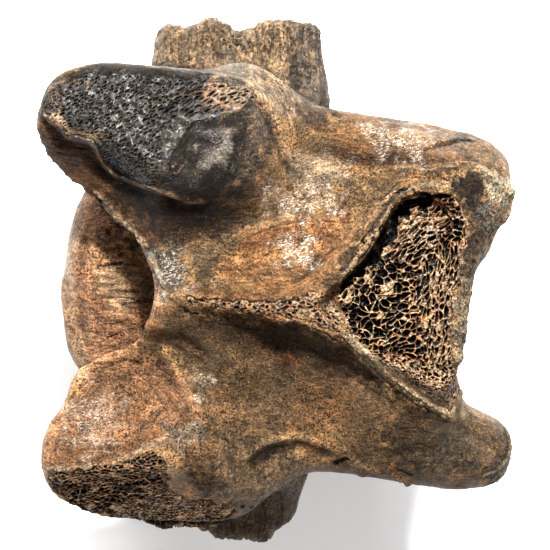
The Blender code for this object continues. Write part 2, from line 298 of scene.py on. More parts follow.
class NodeDesk:
    """Lays out the nodes of one material around its Principled shader."""

    def __init__(self, name: str) -> None:
        """Starts a material with a Principled shader.

        Args:
            name: the material's name.
        """
        self.material = bpy.data.materials.new(name)
        self.material.use_nodes = True
        self.tree = self.material.node_tree
        self.shader = self.tree.nodes["Principled BSDF"]
        self.place = self.tree.nodes.new("ShaderNodeTexCoord").outputs["Object"]

    def _put(self, socket: Socket, value: object) -> None:
        """Links a socket to an output, or sets its number.

        Args:
            socket: the input to fill.
            value: an output, a number or a colour.
        """
        if isinstance(value, Socket):
            self.tree.links.new(value, socket)
        else:
            socket.default_value = value

    def set_socket(self, name: str, value: object) -> None:
        """Sets a number or colour on the shader itself."""
        self.shader.inputs[name].default_value = value

    def feed(self, name: str, output: Socket) -> None:
        """Links an output to one of the shader's sockets."""
        self.tree.links.new(output, self.shader.inputs[name])

    def attribute(self, name: str, part: str = "Fac") -> Socket:
        """A value painted on the mesh.

        Args:
            name: the attribute's name.
            part: which output: Fac, Color or Vector.

        Returns:
            The attribute at each point.
        """
        node = self.tree.nodes.new("ShaderNodeAttribute")
        node.attribute_name = name
        return node.outputs[part]

    def stretched(self, scale: Triple, turn: float) -> Socket:
        """Object coordinates turned, then scaled.

        Args:
            scale: one factor for each axis.
            turn: degrees about Z, taken before the scale.

        Returns:
            The new coordinates.
        """
        turned = self.tree.nodes.new("ShaderNodeMapping")
        turned.inputs["Rotation"].default_value = (0.0, 0.0, math.radians(turn))
        self.tree.links.new(self.place, turned.inputs["Vector"])
        scaled = self.tree.nodes.new("ShaderNodeMapping")
        scaled.inputs["Scale"].default_value = scale
        self.tree.links.new(turned.outputs["Vector"], scaled.inputs["Vector"])
        return scaled.outputs["Vector"]

    def noise(
        self,
        scale: float,
        detail: float,
        where: Socket | None = None,
        warp: float = 0.0,
        rough: float = 0.6,
    ) -> Socket:
        """A noise pattern.

        Args:
            scale: bumps per metre.
            detail: how many finer layers.
            where: coordinates, or none for plain Object coordinates.
            warp: how much the pattern is bent.
            rough: how strong the finer layers are.

        Returns:
            The pattern's value, about 0.3 to 0.7.
        """
        node = self.tree.nodes.new("ShaderNodeTexNoise")
        node.inputs["Scale"].default_value = scale
        node.inputs["Detail"].default_value = detail
        node.inputs["Roughness"].default_value = rough
        node.inputs["Distortion"].default_value = warp
        self.tree.links.new(where or self.place, node.inputs["Vector"])
        return node.outputs["Fac"]

    def math(self, kind: str, first: object, second: object, clamp: bool = False) -> Socket:
        """One sum, product or other operation of two values.

        Args:
            kind: the Math node's operation.
            first: an output or a number.
            second: another.
            clamp: keeps the result between 0 and 1.

        Returns:
            The result.
        """
        node = self.tree.nodes.new("ShaderNodeMath")
        node.operation = kind
        node.use_clamp = clamp
        self._put(node.inputs[0], first)
        self._put(node.inputs[1], second)
        return node.outputs[0]

    def band(self, value: Socket, low: float, high: float) -> Socket:
        """A soft step up from low to high, or down if low is the larger.

        Args:
            value: the pattern.
            low: where the result is 0.
            high: where it is 1, above or below low.

        Returns:
            A soft step between 0 and 1.
        """
        node = self.tree.nodes.new("ShaderNodeMapRange")
        node.interpolation_type = "SMOOTHSTEP"
        node.inputs["From Min"].default_value = min(low, high)
        node.inputs["From Max"].default_value = max(low, high)
        node.inputs["To Min"].default_value = 0.0 if low < high else 1.0
        node.inputs["To Max"].default_value = 1.0 if low < high else 0.0
        self._put(node.inputs["Value"], value)
        return node.outputs["Result"]

    def mix(self, share: object, first: object, second: object, way: str = "MIX") -> Socket:
        """Two colours mixed by a share.

        Args:
            share: how much of the second.
            first: an output, a colour or a pigment.
            second: another.
            way: how the second is laid on the first.

        Returns:
            The mixed colour.
        """
        node = self.tree.nodes.new("ShaderNodeMix")
        node.data_type = "RGBA"
        node.blend_type = way
        self._put(node.inputs[0], share)
        for socket, value in ((node.inputs[6], first), (node.inputs[7], second)):
            if isinstance(value, Pigment):
                value = (*value.linear, 1.0)
            self._put(socket, value)
        return node.outputs[2]

    def ramp(self, value: Socket, stops: tuple[tuple[float, Triple], tuple[float, Triple]]) -> Socket:
        """A colour between two, by a value.

        Args:
            value: the pattern.
            stops: two pairs of a value and its red, green and blue.

        Returns:
            The colour.
        """
        node = self.tree.nodes.new("ShaderNodeValToRGB")
        for spot, (at, colour) in zip(list(node.color_ramp.elements), stops):
            spot.position = at
            spot.color = (*colour, 1.0)
        self._put(node.inputs["Fac"], value)
        return node.outputs["Color"]

    def grey(self, value: Socket) -> Socket:
        """A value as a grey colour, to multiply with.

        Args:
            value: the pattern.

        Returns:
            A grey as light as the value.
        """
        node = self.tree.nodes.new("ShaderNodeCombineColor")
        for socket in node.inputs:
            self.tree.links.new(value, socket)
        return node.outputs[0]

    def bump(self, height: Socket, rise: float, socket: str = "Normal") -> None:
        """Roughens one of the shader's normals.

        Args:
            height: the pattern.
            rise: metres that its full height stands for.
            socket: which of the shader's normals.
        """
        node = self.tree.nodes.new("ShaderNodeBump")
        node.inputs["Strength"].default_value = 1.0
        node.inputs["Distance"].default_value = rise
        self.tree.links.new(height, node.inputs["Height"])
        self.tree.links.new(node.outputs["Normal"], self.shader.inputs[socket])


@dataclass(frozen=True)
class CortexFinish:
    """Dense outer bone: mottled, finely pitted and fibrous, in places glossy with consolidant and with
    painted highlight.

    The patterns' scales are in bumps per metre. A band holds the value of a pattern where a look starts
    and the value where it is full. A lane of the grain is a scale of the coordinates and a turn in degrees.
    """

    speck: float = 2300.0
    fibre: float = 1150.0
    mottle: float = 620.0
    blotch: float = 230.0
    drift: float = 70.0
    cool: float = 330.0
    pit: float = 1500.0
    spark: float = 2100.0
    lanes: tuple[tuple[Triple, float], ...] = (((0.13, 1, 1), 0), ((1, 0.13, 1), 0), ((0.2, 1, 1), -52))
    tone_band: tuple[float, float] = (0.40, 0.60)
    tone_span: float = 0.58
    darkest: float = 0.14
    calming: float = 0.45
    calm_light: float = 0.45
    fleck_band: tuple[float, float] = (0.555, 0.62)
    pit_band: tuple[float, float] = (0.44, 0.385)
    seam_half: float = 0.010
    spark_band: tuple[float, float] = (0.53, 0.575)
    warmer: Colour = (1.14, 0.93, 0.72, 1.0)
    cooler: Colour = (0.62, 0.64, 0.66, 1.0)
    # Colours of the painted sheen and of the painted sparks
    amber: Colour = (1.0, 0.70, 0.44, 1.0)
    painted_spark_colour: Colour = (1.0, 0.88, 0.72, 1.0)
    roughness: float = 0.62
    polish: float = 0.32
    coat: float = 0.6
    coat_roughness: float = 0.22
    specular: float = 0.25
    relief: float = 0.0011
    coat_relief: float = 0.0007

    def fibres(self, desk: NodeDesk, speck: Socket) -> Socket:
        """The grain: fibres along the painted directions, and plain specks where none is painted.

        Args:
            desk: the material's desk.
            speck: the plain specks.

        Returns:
            The pattern's value.
        """
        pick = desk.tree.nodes.new("ShaderNodeSeparateXYZ")
        desk.tree.links.new(desk.attribute("grain", "Vector"), pick.inputs[0])
        total = left = None
        for lane, (scale, turn) in enumerate(self.lanes):
            pattern = desk.noise(self.fibre, 4.0, desk.stretched(scale, turn), 0.6)
            share = desk.math("MULTIPLY", pattern, pick.outputs[lane])
            total = share if total is None else desk.math("ADD", total, share)
            left = desk.math("SUBTRACT", 1.0 if left is None else left, pick.outputs[lane], clamp=True)
        return desk.math("ADD", total, desk.math("MULTIPLY", speck, left))

    def lightness(self, desk: NodeDesk, tone: Socket, mottle: Socket, blotch: Socket) -> Socket:
        """How light the tint shows: by the grain, calmer where it is glossy, then by the broader patterns.

        Args:
            desk: the material's desk.
            tone: the grain and the specks.
            mottle: patches of about 2 millimetres.
            blotch: patches of about 4 millimetres.

        Returns:
            A factor for the tint.
        """
        light = desk.math("MULTIPLY", desk.band(tone, *self.tone_band), self.tone_span)
        light = desk.math("ADD", light, self.darkest)
        calm = desk.math("MULTIPLY", desk.attribute("gloss"), self.calming)
        short = desk.math("SUBTRACT", self.calm_light, light)
        light = desk.math("ADD", light, desk.math("MULTIPLY", calm, short))
        drift = desk.noise(self.drift, 4.0, warp=0.4)
        layers = ((mottle, 0.34, 0.66, 0.50), (blotch, 0.32, 0.66, 0.50), (drift, 0.34, 0.64, 0.35))
        for pattern, low, high, span in layers:
            share = desk.math("MULTIPLY", desk.band(pattern, low, high), span)
            light = desk.math("MULTIPLY", light, desk.math("ADD", share, 1.08 - span / 2))
        return light

    def coloured(
        self,
        desk: NodeDesk,
        light: Socket,
        tone: Socket,
        mottle: Socket,
        blotch: Socket,
    ) -> Socket:
        """The painted tint, warmer and cooler in patches, with tan flecks where the bone is worn.

        Args:
            desk: the material's desk.
            light: a factor for the tint.
            tone: the grain and the specks.
            mottle: patches of about 2 millimetres.
            blotch: patches of about 4 millimetres.

        Returns:
            The colour.
        """
        colour = desk.mix(1.0, desk.attribute("tint", "Color"), desk.grey(light), "MULTIPLY")
        warm = desk.math("MULTIPLY", desk.band(blotch, 0.50, 0.66), 0.45)
        colour = desk.mix(warm, colour, desk.mix(1.0, colour, self.warmer, "MULTIPLY"))
        cool = desk.math("MULTIPLY", desk.band(desk.noise(self.cool, 4.0, warp=0.4), 0.56, 0.70), 0.35)
        colour = desk.mix(cool, colour, desk.mix(1.0, colour, self.cooler, "MULTIPLY"))
        fleck = desk.math("MULTIPLY", desk.band(tone, *self.fleck_band), desk.band(mottle, 0.48, 0.60))
        return desk.mix(desk.math("MULTIPLY", fleck, desk.attribute("wear")), colour, Pigment.TAN)

    def holes(self, desk: NodeDesk, mottle: Socket, blotch: Socket) -> Socket:
        """Fine pits, and seams that wander between the mottles.

        Args:
            desk: the material's desk.
            mottle: patches of about 2 millimetres.
            blotch: patches of about 4 millimetres.

        Returns:
            1 in a hole and 0 on sound bone.
        """
        pits = desk.band(desk.noise(self.pit, 3.0, warp=0.5), *self.pit_band)
        middle = desk.math("ABSOLUTE", desk.math("SUBTRACT", mottle, 0.5), 0.0)
        seams = desk.math("MULTIPLY", desk.band(middle, self.seam_half, 0.0), desk.band(blotch, 0.56, 0.44))
        hole = desk.math("MAXIMUM", pits, desk.math("MULTIPLY", seams, 0.8))
        pore = desk.math("MULTIPLY", desk.attribute("pore"), 0.65)
        return desk.math("MULTIPLY", hole, desk.math("ADD", 0.35, pore))

    def sparkling(self, desk: NodeDesk, colour: Socket, glint_paint_and_coat: Socket) -> Socket:
        """The colour with painted highlight: an amber sheen and fine pale sparks where glints are painted.

        Args:
            desk: the material's desk.
            colour: the colour so far.
            glint_paint_and_coat: where glints are painted.

        Returns:
            The finished colour.
        """
        # Painted highlight: an amber sheen and pale sparks are mixed into the colour where glints are
        # painted
        sheen = desk.math("MULTIPLY", desk.math("MULTIPLY", glint_paint_and_coat, glint_paint_and_coat), 0.08)
        colour = desk.mix(sheen, colour, self.amber)
        spark = desk.noise(self.spark, 4.0, desk.stretched((0.5, 1, 1), -20.0), 0.8, 0.8)
        spark = desk.math("MULTIPLY", desk.band(spark, *self.spark_band), glint_paint_and_coat)
        return desk.mix(spark, colour, self.painted_spark_colour)

    def shine(self, desk: NodeDesk, glint_paint_and_coat: Socket, speck: Socket) -> None:
        """Sets the roughness and the clear coat.

        Args:
            desk: the material's desk.
            glint_paint_and_coat: where glints are painted.
            speck: the fine specks.
        """
        gloss = desk.attribute("gloss")
        rough = desk.math("SUBTRACT", self.roughness, desk.math("MULTIPLY", gloss, self.polish))
        rough = desk.math("ADD", rough, desk.math("MULTIPLY", desk.math("SUBTRACT", speck, 0.5), 0.5))
        desk.feed("Roughness", rough)
        coat = desk.math("MULTIPLY", gloss, self.coat)
        coat = desk.math("ADD", coat, desk.math("MULTIPLY", glint_paint_and_coat, self.coat), clamp=True)
        desk.feed("Coat Weight", coat)
        desk.set_socket("Coat Roughness", self.coat_roughness)
        desk.set_socket("Specular IOR Level", self.specular)

    def build(self) -> bpy.types.Material:
        """Lays out the material, which reads the paint of the mesh.

        Returns:
            The material.
        """
        desk = NodeDesk("fossil_cortex")
        glint_paint_and_coat = desk.attribute("glint_paint_and_coat")
        speck = desk.noise(self.speck, 4.0, rough=0.7)
        fibres = self.fibres(desk, speck)
        mottle = desk.noise(self.mottle, 5.0, warp=0.6, rough=0.65)
        blotch = desk.noise(self.blotch, 5.0, warp=0.5)
        tone = desk.math("ADD", desk.math("MULTIPLY", fibres, 0.7), desk.math("MULTIPLY", speck, 0.3))
        light = self.lightness(desk, tone, mottle, blotch)
        hole = self.holes(desk, mottle, blotch)
        colour = desk.mix(hole, self.coloured(desk, light, tone, mottle, blotch), Pigment.BLACK)
        desk.feed("Base Color", self.sparkling(desk, colour, glint_paint_and_coat))
        self.shine(desk, glint_paint_and_coat, speck)
        height = desk.math("ADD", tone, desk.math("MULTIPLY", mottle, 1.4))
        height = desk.math("SUBTRACT", height, desk.math("MULTIPLY", hole, 0.5))
        desk.bump(height, self.relief)
        desk.bump(height, self.coat_relief, "Coat Normal")
        return desk.material


@dataclass(frozen=True)
class SpongyFinish:
    """Open spongy bone: pale wall tops, partly worn and partly painted highlight, over cells in painted
    shade.

    Scales are in bumps per metre, and a band holds the values where a look starts and is full.
    """

    name: str
    edge: Pigment
    worn: float
    warmth: float = 0.6
    speck: float = 1700.0
    blotch: float = 420.0
    light_span: float = 0.5
    darkest: float = 0.18
    crest_band: tuple[float, float] = (0.05, 0.0)
    cell_shade_band: tuple[float, float] = (0.03, 0.32)
    warmer: Colour = (1.0, 0.66, 0.42, 1.0)
    specular: float = 0.25
    roughness: float = 0.5
    coat: float = 0.15
    coat_roughness: float = 0.25
    relief: float = 0.0003

    def build(self) -> bpy.types.Material:
        """Lays out the material, which reads the depth and tint of the mesh.

        Returns:
            The material.
        """
        desk = NodeDesk(self.name)
        depth = desk.attribute("depth")
        speck = desk.noise(self.speck, 4.0, rough=0.7)
        blotch = desk.noise(self.blotch, 4.0, warp=0.5)
        light = desk.math("MULTIPLY", desk.band(speck, 0.38, 0.62), self.light_span)
        light = desk.math("ADD", light, self.darkest)
        colour = desk.mix(1.0, desk.attribute("tint", "Color"), desk.grey(light), "MULTIPLY")
        warm = desk.math("MULTIPLY", desk.band(blotch, 0.50, 0.62), self.warmth)
        colour = desk.mix(warm, colour, desk.mix(1.0, colour, self.warmer, "MULTIPLY"))
        # Pale wall tops: partly worn edges, partly painted highlight
        crest = desk.math("MULTIPLY", desk.band(depth, *self.crest_band), desk.band(speck, 0.46, 0.58))
        colour = desk.mix(desk.math("MULTIPLY", crest, self.worn), colour, self.edge)
        # Painted shade: the cells go black with their depth
        colour = desk.mix(desk.band(depth, *self.cell_shade_band), colour, Pigment.BLACK)
        desk.feed("Base Color", colour)
        desk.set_socket("Specular IOR Level", self.specular)
        desk.set_socket("Roughness", self.roughness)
        desk.set_socket("Coat Weight", self.coat)
        desk.set_socket("Coat Roughness", self.coat_roughness)
        desk.bump(speck, self.relief)
        return desk.material


@dataclass(frozen=True)
class Zone:
    """An area of the frame with a soft, ragged border, all in pixels, and how much it counts."""

    amount: float
    outline: Path
    soft: float = 5.0
    ragged: float = 9.0

    def inside(self, spots: np.ndarray) -> np.ndarray:
        """How deep spots lie inside the outline.

        Args:
            spots: places in the outline's plane, one pair per row.

        Returns:
            The depth of each spot in the outline's unit, below zero outside.
        """
        corners = np.array(self.outline)
        ends = np.roll(corners, -1, axis=0)
        nearest = np.full(len(spots), FAR)
        crossed = np.zeros(len(spots), bool)
        for start, end in zip(corners, ends):
            nearest = np.minimum(nearest, gap_to_side(spots, start, end))
            run, rise = end - start
            if rise:
                astride = (start[1] > spots[:, 1]) != (end[1] > spots[:, 1])
                crossed ^= astride & (spots[:, 0] < start[0] + (spots[:, 1] - start[1]) / rise * run)
        return np.where(crossed, nearest, -nearest)

    def cover(self, spots: np.ndarray, fray: np.ndarray) -> np.ndarray:
        """The zone's weight at each spot.

        Args:
            spots: pixels of the frame.
            fray: noise of about -0.6 to 0.6 that tears the border.

        Returns:
            Weights from 0 to the zone's amount.
        """
        depth = self.inside(spots) + self.ragged * fray
        return self.amount * smoothstep(-self.soft, self.soft, depth)


@dataclass(frozen=True)
class Wash(Zone):
    """A zone with a pigment; shade darkens or lightens the pigment."""

    pigment: Pigment = Pigment.TAN
    shade: float = 1.0

    @property
    def stain(self) -> np.ndarray:
        """The shaded pigment in linear light."""
        return np.minimum(self.pigment.linear * self.shade, 1.0)


class Cut(Enum):
    """Kinds of mark: half width and depth in millimetres, strength of the paint, and pigment.

    A mark whose depth is below zero stands up.
    """

    CRACK = (0.28, 0.55, 0.9, Pigment.BLACK)
    HAIRLINE = (0.20, 0.25, 0.65, Pigment.DEEP_BROWN)
    SLIT = (0.40, 0.9, 0.95, Pigment.BLACK)
    HOLE = (0.75, 1.6, 0.95, Pigment.BLACK)
    GROOVE = (0.9, 0.7, 0.45, Pigment.DEEP_BROWN)
    LIP = (0.55, -0.45, 0.7, Pigment.CREAM)
    CREST = (1.2, -0.8, 0.25, Pigment.PALE)
    CRUMB = (0.9, -0.9, 0.6, Pigment.RUST)


@dataclass(frozen=True)
class Mark:
    """A cut, crest or hole along a path of the frame, or at its one point; scale makes it bigger."""

    cut: Cut
    path: Path
    scale: float = 1.0


@dataclass(frozen=True)
class Swell:
    """A broad ridge along a path of the frame, in millimetres; below zero it is a furrow."""

    half: float
    rise: float
    path: Path


class Clay:
    """The bone's skin while it is worked, in millimetres, as a mesh and its arrays."""

    clearance: float = 0.3

    def __init__(self, mesh: bpy.types.Mesh, camera: PhotoCamera) -> None:
        """Takes over a mesh.

        Args:
            mesh: the mesh to work, in millimetres.
            camera: the photograph's camera.
        """
        self.mesh = mesh
        self.camera = camera
        self.read()

    def read(self) -> None:
        """Fills the arrays from the mesh."""
        self.mesh.update()
        count = len(self.mesh.vertices)
        flat = np.empty(count * 3, np.float32)
        self.mesh.vertices.foreach_get("co", flat)
        self.co = flat.reshape(-1, 3).astype(float)
        self.mesh.vertices.foreach_get("normal", flat)
        self.normal = flat.reshape(-1, 3).astype(float)
        pairs = np.empty(len(self.mesh.edges) * 2, np.int32)
        self.mesh.edges.foreach_get("vertices", pairs)
        self.pairs = pairs.reshape(-1, 2)
        self.links = np.maximum(np.bincount(pairs, minlength=count), 1)

    def write(self) -> None:
        """Puts the places back into the mesh and reads the new normals."""
        self.mesh.vertices.foreach_set("co", self.co.astype(np.float32).ravel())
        self.read()

    def average(self, values: np.ndarray, rounds: int, held: np.ndarray | None = None) -> np.ndarray:
        """Values spread over the skin.

        Args:
            values: one row per point.
            rounds: how many times each point takes the mean of its neighbours.
            held: points that keep their value.

        Returns:
            The smoothed values.
        """
        first, second = self.pairs.T
        spread = values.reshape(len(self.co), -1).copy()
        for _ in range(rounds):
            total = np.empty_like(spread)
            for lane in range(spread.shape[1]):
                total[:, lane] = np.bincount(first, spread[second, lane], len(spread))
                total[:, lane] += np.bincount(second, spread[first, lane], len(spread))
            fresh = total / self.links[:, None]
            if held is not None:
                fresh[held] = spread[held]
            spread = fresh
        return spread.reshape(values.shape)

    def tree(self) -> BVHTree:
        """A ray tracing tree of the skin."""
        return BVHTree.FromPolygons(self.co.tolist(), [tuple(p.vertices) for p in self.mesh.polygons])

    def seen(self) -> np.ndarray:
        """Which points the photograph shows.

        Returns:
            True for each point that faces the camera with nothing in between.
        """
        towards = np.array(self.camera.place) - self.co
        towards /= np.linalg.norm(towards, axis=1)[:, None]
        shown = (self.normal * towards).sum(axis=1) > 0.0
        tree = self.tree()
        for i in np.flatnonzero(shown):
            hit = tree.ray_cast(Vector(self.co[i] + self.clearance * self.normal[i]), Vector(towards[i]))
            shown[i] = hit[0] is None
        return shown

    def trace(self, path: Path, tree: BVHTree, step: float = 1.2) -> np.ndarray:
        """Places on the skin under a path of the frame.

        Args:
            path: corners in pixels.
            tree: the skin's tree.
            step: pixels between places.

        Returns:
            Places in millimetres.
        """
        spots = []
        for (x0, y0), (x1, y1) in zip(path, path[1:] or path):
            parts = max(1, round(math.hypot(x1 - x0, y1 - y0) / step))
            spots += [(x0 + (x1 - x0) * k / parts, y0 + (y1 - y0) * k / parts) for k in range(parts + 1)]
        hits = [tree.ray_cast(Vector(self.camera.place), self.camera.sight(*spot))[0] for spot in spots]
        return np.array([tuple(hit) for hit in hits if hit is not None]).reshape(-1, 3)

    def near(self, places: np.ndarray, reach: float) -> tuple[np.ndarray, np.ndarray]:
        """Points close to any of the places.

        Args:
            places: in millimetres.
            reach: how far to look.

        Returns:
            The points' numbers, and each one's distance.
        """
        if not len(places):
            return np.empty(0, int), np.empty(0)
        low, high = places.min(axis=0) - reach, places.max(axis=0) + reach
        picked = np.flatnonzero(((self.co > low) & (self.co < high)).all(axis=1))
        gaps = np.linalg.norm(self.co[picked, None] - places[None], axis=2).min(axis=1)
        return picked[gaps < reach], gaps[gaps < reach]

    def refine(self, wanted: np.ndarray) -> None:
        """Halves the edges between wanted points and smooths the new skin a little.

        Args:
            wanted: true for each point whose skin is divided.
        """
        bm = bmesh.new()
        bm.from_mesh(self.mesh)
        edges = [e for e in bm.edges if wanted[e.verts[0].index] and wanted[e.verts[1].index]]
        bmesh.ops.subdivide_edges(bm, edges=edges, cuts=1, use_grid_fill=True)
        many = [f for f in bm.faces if len(f.verts) > 4]
        bmesh.ops.triangulate(bm, faces=many)
        bm.to_mesh(self.mesh)
        bm.free()
        self.read()
        smooth = self.average(self.co, 2)
        fresh = np.arange(len(self.co)) >= len(wanted)
        self.co[fresh] = smooth[fresh]
        self.write()

    def fray(self) -> np.ndarray:
        """Noise that tears the borders of the painted zones."""
        return noise_at(self.co, 3.2, 9.0) + 0.6 * noise_at(self.co, 1.3, 11.0)

    def attribute(self, name: str, values: np.ndarray) -> None:
        """Stores values on the mesh.

        Args:
            name: the attribute's name; tint holds colours.
            values: numbers, or rows of three.
        """
        if values.ndim == 1:
            layer = self.mesh.attributes.new(name, "FLOAT", "POINT")
            layer.data.foreach_set("value", values.astype(np.float32))
        elif name == "tint":
            layer = self.mesh.attributes.new(name, "FLOAT_COLOR", "POINT")
            full = np.concatenate([values, np.ones((len(values), 1))], axis=1)
            layer.data.foreach_set("color", full.astype(np.float32).ravel())
        else:
            layer = self.mesh.attributes.new(name, "FLOAT_VECTOR", "POINT")
            layer.data.foreach_set("vector", values.astype(np.float32).ravel())


def kept_mesh(obj: bpy.types.Object) -> bpy.types.Mesh:
    """Applies an object's modifiers and removes the object.

    Args:
        obj: the object to use up.

    Returns:
        Its mesh.
    """
    bpy.context.view_layer.update()
    graph = bpy.context.evaluated_depsgraph_get()
    mesh = bpy.data.meshes.new_from_object(obj.evaluated_get(graph))
    bpy.data.objects.remove(obj)
    return mesh


def triangle_count(mesh: bpy.types.Mesh) -> int:
    """How many triangles the mesh's faces hold."""
    return sum(len(p.vertices) - 2 for p in mesh.polygons)


def finished_piece(name: str, mesh: bpy.types.Mesh, material: bpy.types.Material) -> bpy.types.Object:
    """Turns a worked mesh into a piece in metres that stands for the CAD bone.

    Args:
        name: the piece's name.
        mesh: the mesh in millimetres, thinned here if it has too many triangles.
        material: its finish.

    Returns:
        The piece.
    """
    count = triangle_count(mesh)
    logging.info("%s: worked on %d triangles", name, count)
    if count > MOST_TRIANGLES:
        thinned = bpy.data.objects.new(name, mesh)
        bpy.context.scene.collection.objects.link(thinned)
        thinned.modifiers.new("thin", "DECIMATE").ratio = MOST_TRIANGLES / count
        mesh = kept_mesh(thinned)
    mesh.name = name
    mesh.transform(Matrix.Scale(MM, 4))
    mesh.materials.clear()
    mesh.materials.append(material)
    mesh.shade_smooth()
    piece = bpy.data.objects.new(name, mesh)
    bpy.context.scene.collection.objects.link(piece)
    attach(piece, "root")
    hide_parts("vertebra")
    logging.info("%s: %d points, %d triangles", name, len(mesh.vertices), triangle_count(mesh))
    return piece


@dataclass(frozen=True)
class Cells:
    """The cells of spongy bone: their size and wall in millimetres, drawn out along a direction."""

    size: float
    wall: float
    along: Triple = (1.0, 0.0, 0.0)
    stretch: float = 1.0
    depth: float = 2.2
    seed: float = 0.0
    where: Path | None = None
    bend: float = 0.9
    bend_size: float = 4.0
    wall_slope: float = 0.11

    def openness(self, points: np.ndarray) -> np.ndarray:
        """How open the bone is.

        Args:
            points: places in millimetres, one per row.

        Returns:
            0 on a wall and 1 in a cell, for each place.
        """
        axis = np.array(self.along) / np.linalg.norm(self.along)
        bend = np.stack([noise_at(points, self.bend_size, self.seed + k) for k in (1, 2, 3)], axis=1)
        drawn = points + bend * self.size * self.bend
        drawn = drawn - (1.0 - 1.0 / self.stretch) * (drawn @ axis)[:, None] * axis
        places = (drawn / self.size + CELL_SEED_STEP * self.seed).tolist()
        gaps = np.array([noise.voronoi(place)[0][:2] for place in places])
        edge = (gaps[:, 1] - gaps[:, 0]) * self.size * 0.5
        return smoothstep(self.wall, self.wall + self.wall_slope, edge)


